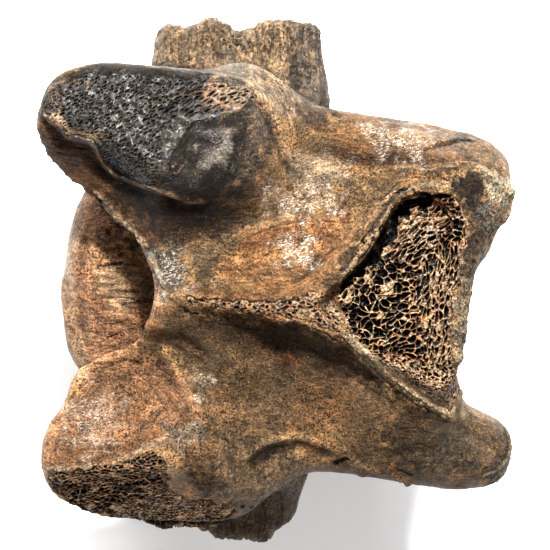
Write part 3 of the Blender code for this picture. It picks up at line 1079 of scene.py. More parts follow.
@dataclass(frozen=True)
class SpongyPatch:
    """A piece of open spongy bone, set into the skin where the photograph shows it."""

    name: str
    outline: Path
    cells: tuple[Cells, ...]
    tints: tuple[Pigment, ...]
    finish: SpongyFinish
    cuts: int = 4
    thick: float = 3.4
    margin: float = 1.3
    filled: float = -0.62
    uneven: float = 0.25
    washes: tuple[Wash, ...] = ()
    unseen: float = -9.0
    top_rounds: int = 6
    skin_rounds: int = 12
    first_layer: float = 0.45
    second_layer: float = 0.55
    second_size: float = 0.8
    second_seed: float = 5.0
    sunk_border: float = 0.25
    sunk_margin: float = 0.9

    def depth_inside(self, clay: Clay, seen: np.ndarray) -> np.ndarray:
        """How far points lie inside the torn outline.

        Args:
            clay: the skin.
            seen: which of its points count; the others lie outside.

        Returns:
            The depth of each point in millimetres, below zero outside.
        """
        depth = Zone(1.0, self.outline).inside(clay.camera.project(clay.co)) * PIXEL
        depth += 0.9 * noise_at(clay.co, 2.6, 3.0) + 0.5 * noise_at(clay.co, 1.1, 5.0)
        return np.where(seen, depth, self.unseen)

    def blank(self, clay: Clay, depth: np.ndarray) -> bmesh.types.BMesh:
        """A closed slab of the skin around the outline, its top finely divided.

        Args:
            clay: the skin that it is cut from.
            depth: how far each point lies inside.

        Returns:
            The slab, with its top's faces marked in the layer called top.
        """
        bm = bmesh.new()
        bm.from_mesh(clay.mesh)
        outside = [f for f in bm.faces if min(depth[v.index] for v in f.verts) < -self.margin]
        bmesh.ops.delete(bm, geom=outside, context="FACES")
        top = bm.faces.layers.int.new("top")
        for face in bm.faces:
            face[top] = 1
        made = bmesh.ops.extrude_face_region(bm, geom=list(bm.faces), use_keep_orig=True)["geom"]
        for item in made:
            if isinstance(item, bmesh.types.BMFace):
                item[top] = 0
        bm.normal_update()
        low = [item for item in made if isinstance(item, bmesh.types.BMVert)]
        moves = [vert.normal * self.thick for vert in low]
        for vert, move in zip(low, moves):
            vert.co -= move
        lowered = set(low)
        for face in bm.faces:
            if face[top] and not lowered.isdisjoint(face.verts):
                face[top] = 0
        edges = [edge for edge in bm.edges if any(face[top] for face in edge.link_faces)]
        bmesh.ops.subdivide_edges(bm, edges=edges, cuts=self.cuts, use_grid_fill=True)
        bmesh.ops.recalc_face_normals(bm, faces=bm.faces)
        return bm

    def build(self, clay: Clay, seen: np.ndarray) -> bpy.types.Object:
        """Makes the piece from the skin.

        Args:
            clay: the skin before it is recessed.
            seen: which of its points the photograph shows.

        Returns:
            The finished piece.
        """
        bm = self.blank(clay, self.depth_inside(clay, seen))
        top = bm.faces.layers.int["top"]
        above = np.zeros(len(bm.verts), bool)
        bm.verts.index_update()
        for face in bm.faces:
            if face[top]:
                for vert in face.verts:
                    above[vert.index] = True
        mesh = bpy.data.meshes.new(self.name)
        bm.to_mesh(mesh)
        bm.free()
        slab = Clay(mesh, clay.camera)
        smooth = slab.average(slab.co, self.top_rounds)
        slab.co[above] = smooth[above]
        slab.write()
        skin = slab.average(slab.normal, self.skin_rounds)
        skin /= np.maximum(np.linalg.norm(skin, axis=1), 1e-6)[:, None]
        inside = self.depth_inside(slab, above)
        spots = clay.camera.project(slab.co)
        fray = noise_at(slab.co, 3.0, 9.0)
        deep = np.zeros(len(slab.co))
        where = np.flatnonzero(above)
        for kind in self.cells:
            fine = kind.openness(slab.co[where])
            behind = Cells(kind.size * self.second_size, kind.wall, kind.along, kind.stretch,
                           seed=kind.seed + self.second_seed)
            through = behind.openness(slab.co[where])
            layer = fine * (self.first_layer + self.second_layer * through)
            share = 1.0
            if kind.where:
                share = Zone(1.0, kind.where, 3.0, 12.0).cover(spots[where], fray[where])
            deep[where] += share * (layer * kind.depth - deep[where])
        stuffed = smoothstep(self.filled, self.filled + 0.16, noise_at(slab.co, 3.4, 21.0))
        deep *= stuffed * smoothstep(-0.1, 0.7, inside)
        rise = self.uneven * noise_at(slab.co, 2.2, 13.0) * smoothstep(0.0, 1.5, inside)
        border = self.sunk_border * smoothstep(0.6, 0.0, inside)
        border += self.sunk_margin * smoothstep(0.0, -1.0, inside)
        slab.co[above] += (skin * (rise - border - deep)[:, None])[above]
        slab.write()
        slab.attribute("depth", deep / max(kind.depth for kind in self.cells))
        slab.attribute("tint", self.paint(slab, spots, fray))
        return finished_piece(self.name, mesh, self.finish.build())

    def paint(self, slab: Clay, spots: np.ndarray, fray: np.ndarray) -> np.ndarray:
        """Colours of the walls: the tints in patches, then the washes.

        Args:
            slab: the piece as it is worked.
            spots: where its points show in the frame.
            fray: noise that tears the borders of the washes.

        Returns:
            A linear colour for each point.
        """
        tint = np.tile(self.tints[0].linear, (len(slab.co), 1))
        for k, pigment in enumerate(self.tints[1:]):
            lay(tint, smoothstep(0.05, 0.25, noise_at(slab.co, 2.4, 40.0 + k)), pigment.linear)
        for wash in self.washes:
            lay(tint, wash.cover(spots, fray), wash.stain)
        return tint

    def recess(self, inside: np.ndarray) -> np.ndarray:
        """How deep the skin sinks under the piece, in millimetres."""
        deepest = max(kind.depth for kind in self.cells)
        return smoothstep(0.05, 0.9, inside) * min(deepest + 0.6, self.thick - 0.3)


# The way that the struts of the spine and of the tongue run
DIAGONAL = (0.74, 0.66, 0.1)

# Outlines of the open spongy areas, in pixels of the frame
BREAK_EDGE: Path = (
    (334, 296), (343, 280), (352, 268), (368, 247), (384, 223), (397, 203), (406, 195), (427, 192),
    (450, 194), (462, 207), (466, 226), (466, 245), (461, 262), (456, 300), (453, 335), (453, 362),
    (458, 385), (456, 402), (450, 413), (434, 400), (414, 386), (393, 371), (370, 352), (352, 334),
    (343, 315),
)
RIDGE_EDGE: Path = (
    (186, 296), (206, 297), (232, 299), (262, 301), (288, 298), (308, 291), (322, 292), (332, 300),
    (343, 318), (352, 332), (342, 334), (322, 328), (300, 320), (270, 317), (240, 313), (210, 309),
    (190, 306),
)
TONGUE_EDGE: Path = (
    (42, 106), (47, 94), (60, 83), (90, 74), (125, 72), (155, 77), (185, 80), (205, 74), (228, 74),
    (248, 84), (257, 96), (244, 108), (222, 116), (196, 124), (180, 138), (172, 158), (172, 180),
    (160, 189), (136, 182), (114, 172), (104, 162), (98, 150), (92, 140), (66, 135), (58, 124),
    (46, 114),
)
RIM_EDGE: Path = (
    (46, 478), (60, 471), (90, 468), (120, 462), (138, 454), (150, 447), (160, 452), (165, 470),
    (169, 490), (190, 500), (214, 500), (232, 504), (236, 512), (222, 523), (185, 530), (140, 530),
    (100, 522), (75, 508), (54, 492),
)

# Torn upper edge of the upper transverse plate
PLATE_EDGE: Path = (
    (145, 60), (150, 45), (153, 30), (157, 22), (165, 18), (175, 20), (180, 24), (190, 27), (200, 23),
    (206, 18), (211, 11), (222, 15), (229, 20), (233, 30), (240, 32), (247, 28), (262, 20), (275, 15),
    (285, 17), (297, 22), (318, 22), (330, 40),
)

# Stains of the dense skin, with some painted shade and painted light marked below, laid in this order
WASHES = (
    # head of the body and canal floor
    Wash(0.9, ((60, 180), (95, 190), (114, 215), (140, 245), (161, 302), (142, 330), (112, 362),
               (83, 386), (60, 340), (55, 260)), 5.0, 9.0, Pigment.PINK_TAN, 0.98),
    Wash(0.65, ((64, 230), (78, 236), (76, 262), (70, 300), (76, 330), (88, 332), (86, 385), (70, 372),
                (60, 310)), 5.0, 9.0, Pigment.PALE, 0.85),
    # painted light: the inner head is lightened against the shadow that the body casts there
    Wash(0.6, ((96, 250), (130, 262), (140, 290), (120, 320), (100, 300)), 5.0, 9.0, Pigment.PALE, 1.1),
    # underside of the dark tongue, with the right facet
    Wash(0.94, ((36, 110), (60, 125), (66, 136), (92, 142), (98, 152), (106, 166), (116, 176), (155, 190),
                (178, 202), (170, 235), (150, 262), (128, 245), (110, 214), (92, 196), (72, 190),
                (52, 165), (38, 142)), 3.0, 4.0, Pigment.BROWN, 0.54),
    Wash(0.45, ((56, 158), (95, 172), (112, 198), (92, 196), (70, 184)), 5.0, 9.0, Pigment.ORANGE, 0.5),
    Wash(0.5, ((112, 214), (128, 222), (152, 262), (156, 290), (146, 262), (126, 236)),
         3.0, 4.0, Pigment.PALE, 1.3),
    # the tongue itself and how it fades to the right
    Wash(0.96, ((32, 116), (36, 92), (60, 74), (95, 62), (150, 58), (195, 62), (230, 70), (252, 88),
                (260, 98), (252, 118), (247, 150), (238, 178), (212, 202), (190, 203), (155, 190),
                (116, 176), (98, 151), (92, 141), (66, 136), (58, 125)), 3.0, 4.0, Pigment.CHARCOAL, 0.3),
    Wash(0.55, ((34, 114), (38, 94), (58, 76), (80, 72), (64, 92), (52, 110), (46, 122)),
         5.0, 9.0, Pigment.EARTH, 0.85),
    Wash(0.8, ((248, 98), (276, 110), (268, 150), (250, 190), (222, 215), (190, 228), (170, 208),
               (205, 200), (236, 180), (246, 140)), 8.0, 12.0, Pigment.GREY, 0.42),
    # painted shade in the valley below the tongue
    Wash(0.85, ((166, 202), (215, 196), (245, 184), (250, 205), (228, 236), (190, 248), (165, 252),
                (152, 236), (155, 205)), 9.0, 14.0, Pigment.DEEP_BROWN, 0.45),
    Wash(0.5, ((238, 150), (262, 140), (277, 160), (268, 186), (245, 197), (232, 176)),
         8.0, 16.0, Pigment.CHARCOAL, 0.8),
    # painted highlight: pale streaks on the tongue's smooth part
    Wash(0.5, ((222, 126), (235, 128), (232, 147), (224, 144)), 3.0, 10.0, Pigment.GREY, 2.4),
    Wash(0.4, ((202, 150), (232, 148), (230, 166), (206, 170)), 3.0, 12.0, Pigment.GREY, 2.4),
    Wash(0.4, ((186, 172), (204, 166), (206, 182), (190, 186)), 3.0, 12.0, Pigment.GREY, 0.6),
    # the lamina beside the spine
    Wash(0.9, ((152, 248), (184, 250), (188, 286), (172, 296), (156, 288)),
         6.0, 12.0, Pigment.GREY, 0.22),
    Wash(0.8, ((190, 250), (225, 240), (235, 285), (190, 292)), 8.0, 12.0, Pigment.GREY_BROWN, 0.75),
    Wash(0.75, ((228, 250), (256, 232), (300, 219), (345, 222), (354, 240), (332, 262), (300, 271),
                (262, 268), (238, 284), (216, 278)), 8.0, 14.0, Pigment.HONEY, 1.05),
    Wash(0.4, ((240, 246), (262, 231), (300, 219), (352, 216), (354, 226), (305, 229), (268, 240),
               (248, 254)), 3.0, 7.0, Pigment.RUST),
    Wash(0.6, ((328, 198), (350, 200), (356, 214), (338, 220), (326, 212)),
         5.0, 12.0, Pigment.HONEY, 0.5),
    Wash(0.2, ((240, 246), (262, 248), (264, 262), (244, 264)), 5.0, 12.0, Pigment.HONEY, 1.1),
    Wash(0.7, ((284, 155), (320, 148), (350, 165), (352, 190), (312, 197), (288, 182)),
         9.0, 14.0, Pigment.PALE, 1.2),
    Wash(0.55, ((335, 182), (400, 182), (396, 202), (340, 206)), 6.0, 16.0, Pigment.GREY_BROWN, 0.6),
    Wash(0.5, ((300, 262), (330, 255), (345, 270), (325, 292), (280, 292), (262, 284)),
         6.0, 12.0, Pigment.HONEY, 0.9),
    # the bar to the right rear process
    Wash(0.65, ((330, 105), (420, 118), (492, 138), (505, 162), (440, 168), (400, 172), (350, 165),
                (315, 130)), 7.0, 16.0, Pigment.HONEY, 0.3),
    Wash(0.5, ((392, 151), (478, 150), (474, 166), (398, 172)), 5.0, 10.0, Pigment.BROWN, 0.85),
    Wash(0.8, ((456, 132), (474, 132), (472, 143), (454, 143)), 4.0, 8.0, Pigment.GREY, 0.15),
    Wash(0.5, ((470, 140), (502, 150), (508, 172), (478, 168)), 5.0, 8.0, Pigment.PALE, 0.6),
    # the upper transverse plate
    Wash(0.85, ((140, 66), (154, 10), (206, 6), (232, 20), (275, 6), (325, 14), (326, 60), (340, 106),
                (300, 126), (262, 110), (250, 86), (200, 68)), 5.0, 9.0, Pigment.BEIGE, 0.5),
    Wash(0.6, ((232, 34), (290, 20), (292, 90), (262, 100), (240, 80)), 8.0, 14.0, Pigment.PALE, 0.55),
    Wash(0.6, ((203, 10), (215, 10), (234, 36), (238, 70), (222, 68), (206, 45)),
         4.0, 10.0, Pigment.GREY_BROWN, 1.8),
    Wash(0.7, ((296, 27), (322, 24), (322, 60), (300, 64), (290, 46)), 5.0, 14.0, Pigment.CHARCOAL, 3.0),
    Wash(0.6, ((296, 60), (328, 62), (336, 92), (332, 112), (300, 114), (288, 85)),
         6.0, 18.0, Pigment.CHARCOAL, 1.8),
    Wash(0.6, ((221, 50), (229, 50), (248, 70), (241, 78), (226, 69)), 2.5, 5.0, Pigment.CREAM, 0.25),
    Wash(0.7, ((298, 100), (336, 104), (330, 132), (296, 128)), 6.0, 14.0, Pigment.EARTH, 0.6),
    # the ridge and the shade below it
    Wash(0.65, ((183, 290), (240, 293), (300, 288), (330, 290), (350, 330), (300, 322), (240, 316),
                (188, 308)), 3.0, 6.0, Pigment.ORANGE, 0.4),
    Wash(0.8, ((172, 312), (225, 318), (290, 325), (330, 345), (355, 372), (340, 386), (290, 362),
               (232, 350), (190, 354), (168, 336)), 8.0, 10.0, Pigment.BROWN, 0.22),
    # the lower lamina
    Wash(0.8, ((168, 338), (232, 350), (300, 360), (350, 385), (420, 412), (446, 432), (420, 452),
               (350, 446), (290, 440), (236, 432), (198, 416), (180, 380)), 8.0, 12.0, Pigment.TAN, 0.56),
    Wash(0.65, ((205, 365), (262, 366), (262, 402), (210, 402)), 8.0, 14.0, Pigment.EARTH, 0.85),
    Wash(0.6, ((278, 354), (296, 352), (300, 366), (284, 372)), 3.0, 5.0, Pigment.RUST, 0.8),
    Wash(0.35, ((300, 380), (350, 392), (345, 430), (300, 425)), 8.0, 20.0, Pigment.HONEY, 1.2),
    # the left facet and its worn lip
    Wash(0.92, ((40, 440), (56, 406), (84, 385), (110, 364), (140, 348), (166, 360), (192, 396),
                (205, 422), (160, 444), (112, 467), (60, 472), (42, 466)),
         4.0, 6.0, Pigment.PINK_TAN, 0.85),
    Wash(0.65, ((48, 440), (112, 440), (162, 430), (152, 446), (110, 464), (52, 469)),
         5.0, 8.0, Pigment.BROWN, 0.75),
    Wash(0.6, ((165, 428), (202, 424), (206, 440), (182, 450), (164, 446)), 4.0, 9.0, Pigment.GREY, 1.3),
    Wash(0.7, ((185, 450), (216, 450), (224, 486), (206, 500), (188, 480)),
         5.0, 7.0, Pigment.EARTH, 0.55),
    Wash(0.7, ((216, 430), (290, 440), (318, 472), (302, 500), (240, 502), (214, 482)),
         7.0, 10.0, Pigment.GREY_BROWN, 1.0),
    Wash(0.8, ((204, 500), (302, 488), (308, 520), (266, 552), (202, 540)),
         5.0, 8.0, Pigment.GREY_BROWN, 0.8),
    # the left rear process
    Wash(0.75, ((326, 450), (420, 414), (470, 392), (500, 420), (520, 456), (505, 486), (440, 495),
                (380, 484), (336, 478)), 8.0, 12.0, Pigment.EARTH, 1.0),
    Wash(0.5, ((425, 430), (470, 405), (505, 440), (495, 475), (440, 480)),
         8.0, 18.0, Pigment.GREY_BROWN, 1.5),
    Wash(0.5, ((400, 430), (440, 425), (470, 440), (480, 465), (430, 475), (395, 455)),
         8.0, 30.0, Pigment.CHARCOAL, 1.2),
    Wash(0.6, ((498, 425), (514, 440), (514, 462), (492, 482), (484, 474), (502, 452)),
         3.0, 10.0, Pigment.CHARCOAL, 1.6),
    Wash(0.7, ((462, 375), (476, 384), (500, 420), (478, 415), (458, 415)), 4.0, 8.0, Pigment.PALE, 0.85),
    # the flaky walls round the break
    Wash(0.7, ((348, 348), (380, 380), (410, 400), (450, 420), (440, 432), (405, 418), (370, 394),
               (342, 364)), 4.0, 10.0, Pigment.EARTH, 0.55),
    Wash(0.95, ((340, 318), (358, 334), (380, 354), (410, 378), (434, 394), (456, 406), (454, 421),
                (434, 412), (410, 399), (384, 381), (360, 360), (342, 336)), 1.5, 4.0, Pigment.PALE, 1.2),
    Wash(0.8, ((455, 262), (468, 250), (474, 262), (470, 300), (468, 350), (474, 388), (462, 392),
               (454, 350)), 2.5, 6.0, Pigment.CREAM, 0.5),
    # painted shade under the tongue's overhanging lip
    Wash(0.8, ((112, 180), (135, 190), (158, 196), (185, 204), (212, 208), (225, 200), (238, 212),
               (205, 228), (165, 224), (135, 212), (115, 196)), 4.0, 8.0, Pigment.DEEP_BROWN, 0.35),
    # the knob behind the break
    Wash(0.92, ((455, 172), (482, 170), (488, 188), (492, 212), (478, 226), (456, 208)),
         3.0, 14.0, Pigment.CHARCOAL, 0.5),
    Wash(0.8, ((484, 168), (506, 176), (520, 194), (502, 207), (488, 195)), 3.0, 6.0, Pigment.CREAM, 1.1),
    Wash(0.85, ((464, 208), (482, 222), (496, 228), (486, 250), (474, 274), (462, 284), (468, 245)),
         4.0, 9.0, Pigment.GREY_BROWN, 0.75),
    Wash(0.55, ((484, 200), (510, 204), (502, 228), (486, 236), (478, 216)),
         4.0, 10.0, Pigment.GREY, 1.5),
    Wash(0.85, ((330, 292), (384, 222), (398, 200), (406, 190), (396, 190), (372, 222), (340, 258),
                (322, 280)), 4.0, 8.0, Pigment.TAN, 0.3),
)

# Where the surface has split into flakes
FLAKY = (
    Zone(1.0, ((300, 296), (322, 276), (346, 244), (372, 208), (392, 184), (410, 186), (398, 206),
               (372, 244), (344, 280), (330, 300)), 4.0, 10.0),
    Zone(0.9, ((345, 176), (400, 164), (460, 160), (500, 172), (518, 194), (500, 230), (478, 262),
               (464, 262), (462, 205), (450, 190), (406, 190), (370, 192)), 4.0, 10.0),
    Zone(0.9, ((180, 306), (240, 310), (300, 318), (340, 338), (366, 360), (420, 404), (456, 424),
               (440, 426), (396, 400), (346, 362), (320, 338), (262, 324), (186, 318)), 3.0, 6.0),
    Zone(0.9, ((452, 256), (478, 248), (476, 300), (472, 350), (478, 392), (458, 396), (450, 350)),
         3.0, 6.0),
    Zone(0.7, ((148, 10), (325, 10), (326, 44), (250, 50), (152, 50)), 5.0, 14.0),
    Zone(0.8, ((90, 190), (112, 200), (134, 226), (160, 262), (170, 300), (158, 300), (140, 262),
               (112, 222)), 3.0, 6.0),
    Zone(0.8, ((160, 430), (205, 424), (222, 452), (226, 486), (206, 498), (186, 470)), 4.0, 10.0),
    Zone(0.6, ((372, 440), (420, 470), (490, 484), (518, 460), (508, 425), (494, 440), (480, 468),
               (430, 458)), 4.0, 10.0),
    Zone(0.5, ((168, 330), (190, 336), (216, 372), (216, 420), (200, 420), (184, 380)), 4.0, 10.0),
)

# Where pale sparks and a sheen are painted into the colour as painted highlight and the coat is thicker, and
# where the consolidant only shines
GLINT_PAINT_ZONES = (
    Zone(0.8, ((268, 192), (326, 188), (332, 208), (300, 218), (266, 210)), 8.0, 26.0),
    Zone(1.0, ((276, 246), (312, 240), (314, 260), (282, 268)), 7.0, 20.0),
    Zone(0.75, ((370, 128), (424, 132), (430, 154), (376, 156)), 8.0, 28.0),
    Zone(0.3, ((292, 158), (345, 162), (345, 186), (292, 182)), 8.0, 24.0),
    Zone(0.6, ((160, 250), (184, 252), (186, 286), (160, 286)), 6.0, 18.0),
    Zone(0.2, ((205, 128), (234, 130), (232, 166), (205, 168)), 6.0, 18.0),
    Zone(0.4, ((62, 86), (160, 80), (160, 176), (104, 150)), 8.0, 24.0),
    Zone(0.5, ((66, 402), (116, 392), (122, 436), (70, 452)), 8.0, 24.0),
    Zone(0.5, ((194, 376), (210, 376), (208, 396), (198, 396)), 6.0, 20.0),
    Zone(0.5, ((150, 262), (158, 262), (168, 298), (158, 300)), 3.0, 8.0),
)

GLOSS = (
    Zone(0.9, ((262, 190), (330, 184), (338, 214), (300, 226), (262, 214)), 8.0, 16.0),
    Zone(1.0, ((272, 244), (312, 238), (318, 262), (280, 270)), 7.0, 16.0),
    Zone(0.5, ((220, 215), (350, 210), (352, 270), (225, 285)), 12.0, 20.0),
    Zone(0.9, ((362, 124), (430, 128), (480, 142), (478, 162), (366, 164)), 8.0, 18.0),
    Zone(0.8, ((284, 155), (350, 160), (350, 190), (288, 184)), 8.0, 18.0),
    Zone(0.8, ((152, 248), (186, 250), (188, 292), (156, 290)), 6.0, 16.0),
    Zone(0.8, ((200, 125), (238, 125), (238, 170), (200, 172)), 8.0, 14.0),
    Zone(0.6, ((60, 80), (170, 76), (170, 180), (100, 150)), 8.0, 16.0),
    Zone(0.8, ((60, 400), (130, 380), (140, 440), (60, 460)), 8.0, 14.0),
    Zone(0.7, ((170, 330), (220, 360), (215, 420), (180, 410)), 8.0, 18.0),
    Zone(0.6, ((150, 20), (240, 20), (250, 75), (150, 70)), 8.0, 18.0),
    Zone(0.6, ((262, 365), (300, 370), (300, 420), (262, 415)), 8.0, 18.0),
    Zone(0.6, ((66, 225), (82, 225), (84, 340), (66, 340)), 5.0, 12.0),
    Zone(0.5, ((440, 400), (505, 430), (500, 475), (430, 470)), 8.0, 16.0),
)

# How strongly the grain runs along X, along Y and up to the right
GRAIN = (
    (Zone(0.8, ((36, 110), (66, 136), (106, 166), (178, 202), (150, 262), (92, 196), (52, 165))), 0),
    (Zone(0.6, ((60, 180), (114, 215), (161, 302), (83, 386), (55, 260))), 0),
    (Zone(0.9, ((140, 66), (154, 10), (325, 10), (340, 106), (300, 126), (262, 110))), 1),
    (Zone(0.9, ((32, 116), (95, 62), (252, 88), (170, 190), (98, 150))), 2),
    (Zone(0.5, ((216, 430), (302, 440), (308, 520), (204, 540))), 1),
    (Zone(0.6, ((300, 290), (340, 240), (400, 186), (410, 195), (345, 285))), 2),
    (Zone(0.4, ((320, 110), (500, 140), (480, 170), (330, 160))), 0),
    (Zone(0.5, ((200, 215), (350, 205), (350, 285), (200, 290))), 0),
)

# Where the skin is rubbed pale
WEAR = (
    Zone(0.8, ((140, 66), (154, 10), (325, 10), (340, 106), (300, 126), (262, 110))),
    Zone(0.6, ((60, 80), (250, 80), (240, 200), (100, 150)), 8.0, 16.0),
    Zone(0.9, ((480, 165), (520, 190), (500, 235), (478, 220)), 4.0, 8.0),
    Zone(0.6, ((190, 200), (350, 190), (350, 295), (150, 300)), 9.0, 18.0),
    Zone(0.9, ((165, 428), (202, 424), (206, 440), (164, 446)), 4.0, 9.0),
)

# Broad ridges and furrows
RELIEF = (
    # rim of the knob, the bar and the bowl between them
    Swell(1.3, 1.3, ((388, 170), (402, 166), (425, 170), (442, 168), (458, 165), (472, 165), (484, 171),
                     (498, 182), (512, 193))),
    Swell(2.0, -1.4, ((395, 158), (420, 160), (450, 158), (478, 160), (500, 172))),
    Swell(3.0, 0.8, ((345, 128), (390, 133), (430, 140), (470, 145))),
    Swell(2.5, -1.2, ((320, 150), (350, 158), (385, 164))),
    Swell(6.0, -1.5, ((300, 165), (325, 172))),
    Swell(1.5, -0.8, ((262, 108), (274, 132), (284, 158), (300, 180))),
    # the lamina beside the break
    Swell(3.0, 0.6, ((222, 212), (250, 200), (275, 192))),
    Swell(3.0, -0.9, ((300, 275), (335, 245), (362, 215), (384, 192))),
    Swell(1.2, 0.2, ((332, 290), (348, 268), (366, 242), (384, 218), (396, 198), (406, 188))),
    Swell(1.6, 0.5, ((245, 232), (285, 222), (330, 222))),
    Swell(1.6, -0.5, ((235, 248), (270, 243), (310, 240), (335, 236))),
    Swell(1.6, 0.4, ((240, 262), (280, 256), (320, 250))),
    Swell(1.6, -1.0, ((185, 313), (240, 320), (300, 328), (340, 350))),
    # the left facet and the lower lamina
    Swell(1.6, 0.9, ((166, 352), (185, 385), (203, 422))),
    Swell(8.0, -1.2, ((90, 430), (120, 410), (140, 395))),
    Swell(9.0, -1.5, ((225, 385), (265, 390), (310, 395))),
    Swell(4.0, 0.8, ((350, 385), (390, 405), (430, 425))),
    Swell(1.5, 0.9, ((243, 458), (262, 443), (290, 436), (318, 440), (340, 452), (362, 474))),
    Swell(2.2, -1.3, ((258, 462), (275, 452), (300, 448), (322, 455))),
    Swell(1.4, 0.8, ((330, 460), (340, 456), (350, 458))),
    Swell(2.0, 0.7, ((372, 440), (400, 450), (430, 462))),
    Swell(2.0, -0.8, ((440, 420), (470, 430), (495, 445))),
    # the tongue, its overhanging lip and the head
    Swell(1.2, -0.7, ((150, 122), (175, 108), (205, 90))),
    Swell(1.2, 0.7, ((42, 113), (60, 125), (66, 136), (92, 141), (98, 151), (104, 163), (114, 173),
                     (136, 183), (158, 190), (180, 197), (202, 203))),
    Swell(1.6, -1.4, ((44, 124), (56, 134), (64, 145), (88, 150), (93, 160), (99, 171), (110, 181),
                      (132, 191), (156, 199), (180, 206))),
    Swell(1.8, 0.7, ((66, 228), (64, 262), (64, 300), (70, 340), (82, 370))),
    Swell(1.6, -0.6, ((84, 240), (80, 270), (80, 310), (86, 345))),
    # the upper plate
    Swell(1.2, -0.5, ((178, 30), (180, 62))),
    Swell(1.4, -0.8, ((215, 20), (220, 60))),
    Swell(1.4, 0.6, ((240, 40), (250, 75))),
    Swell(1.4, -0.6, ((262, 28), (266, 90))),
    Swell(1.4, 0.5, ((278, 30), (284, 90))),
    Swell(1.4, -0.7, ((290, 30), (296, 90))),
    Swell(1.4, 0.5, ((310, 30), (318, 100))),
)

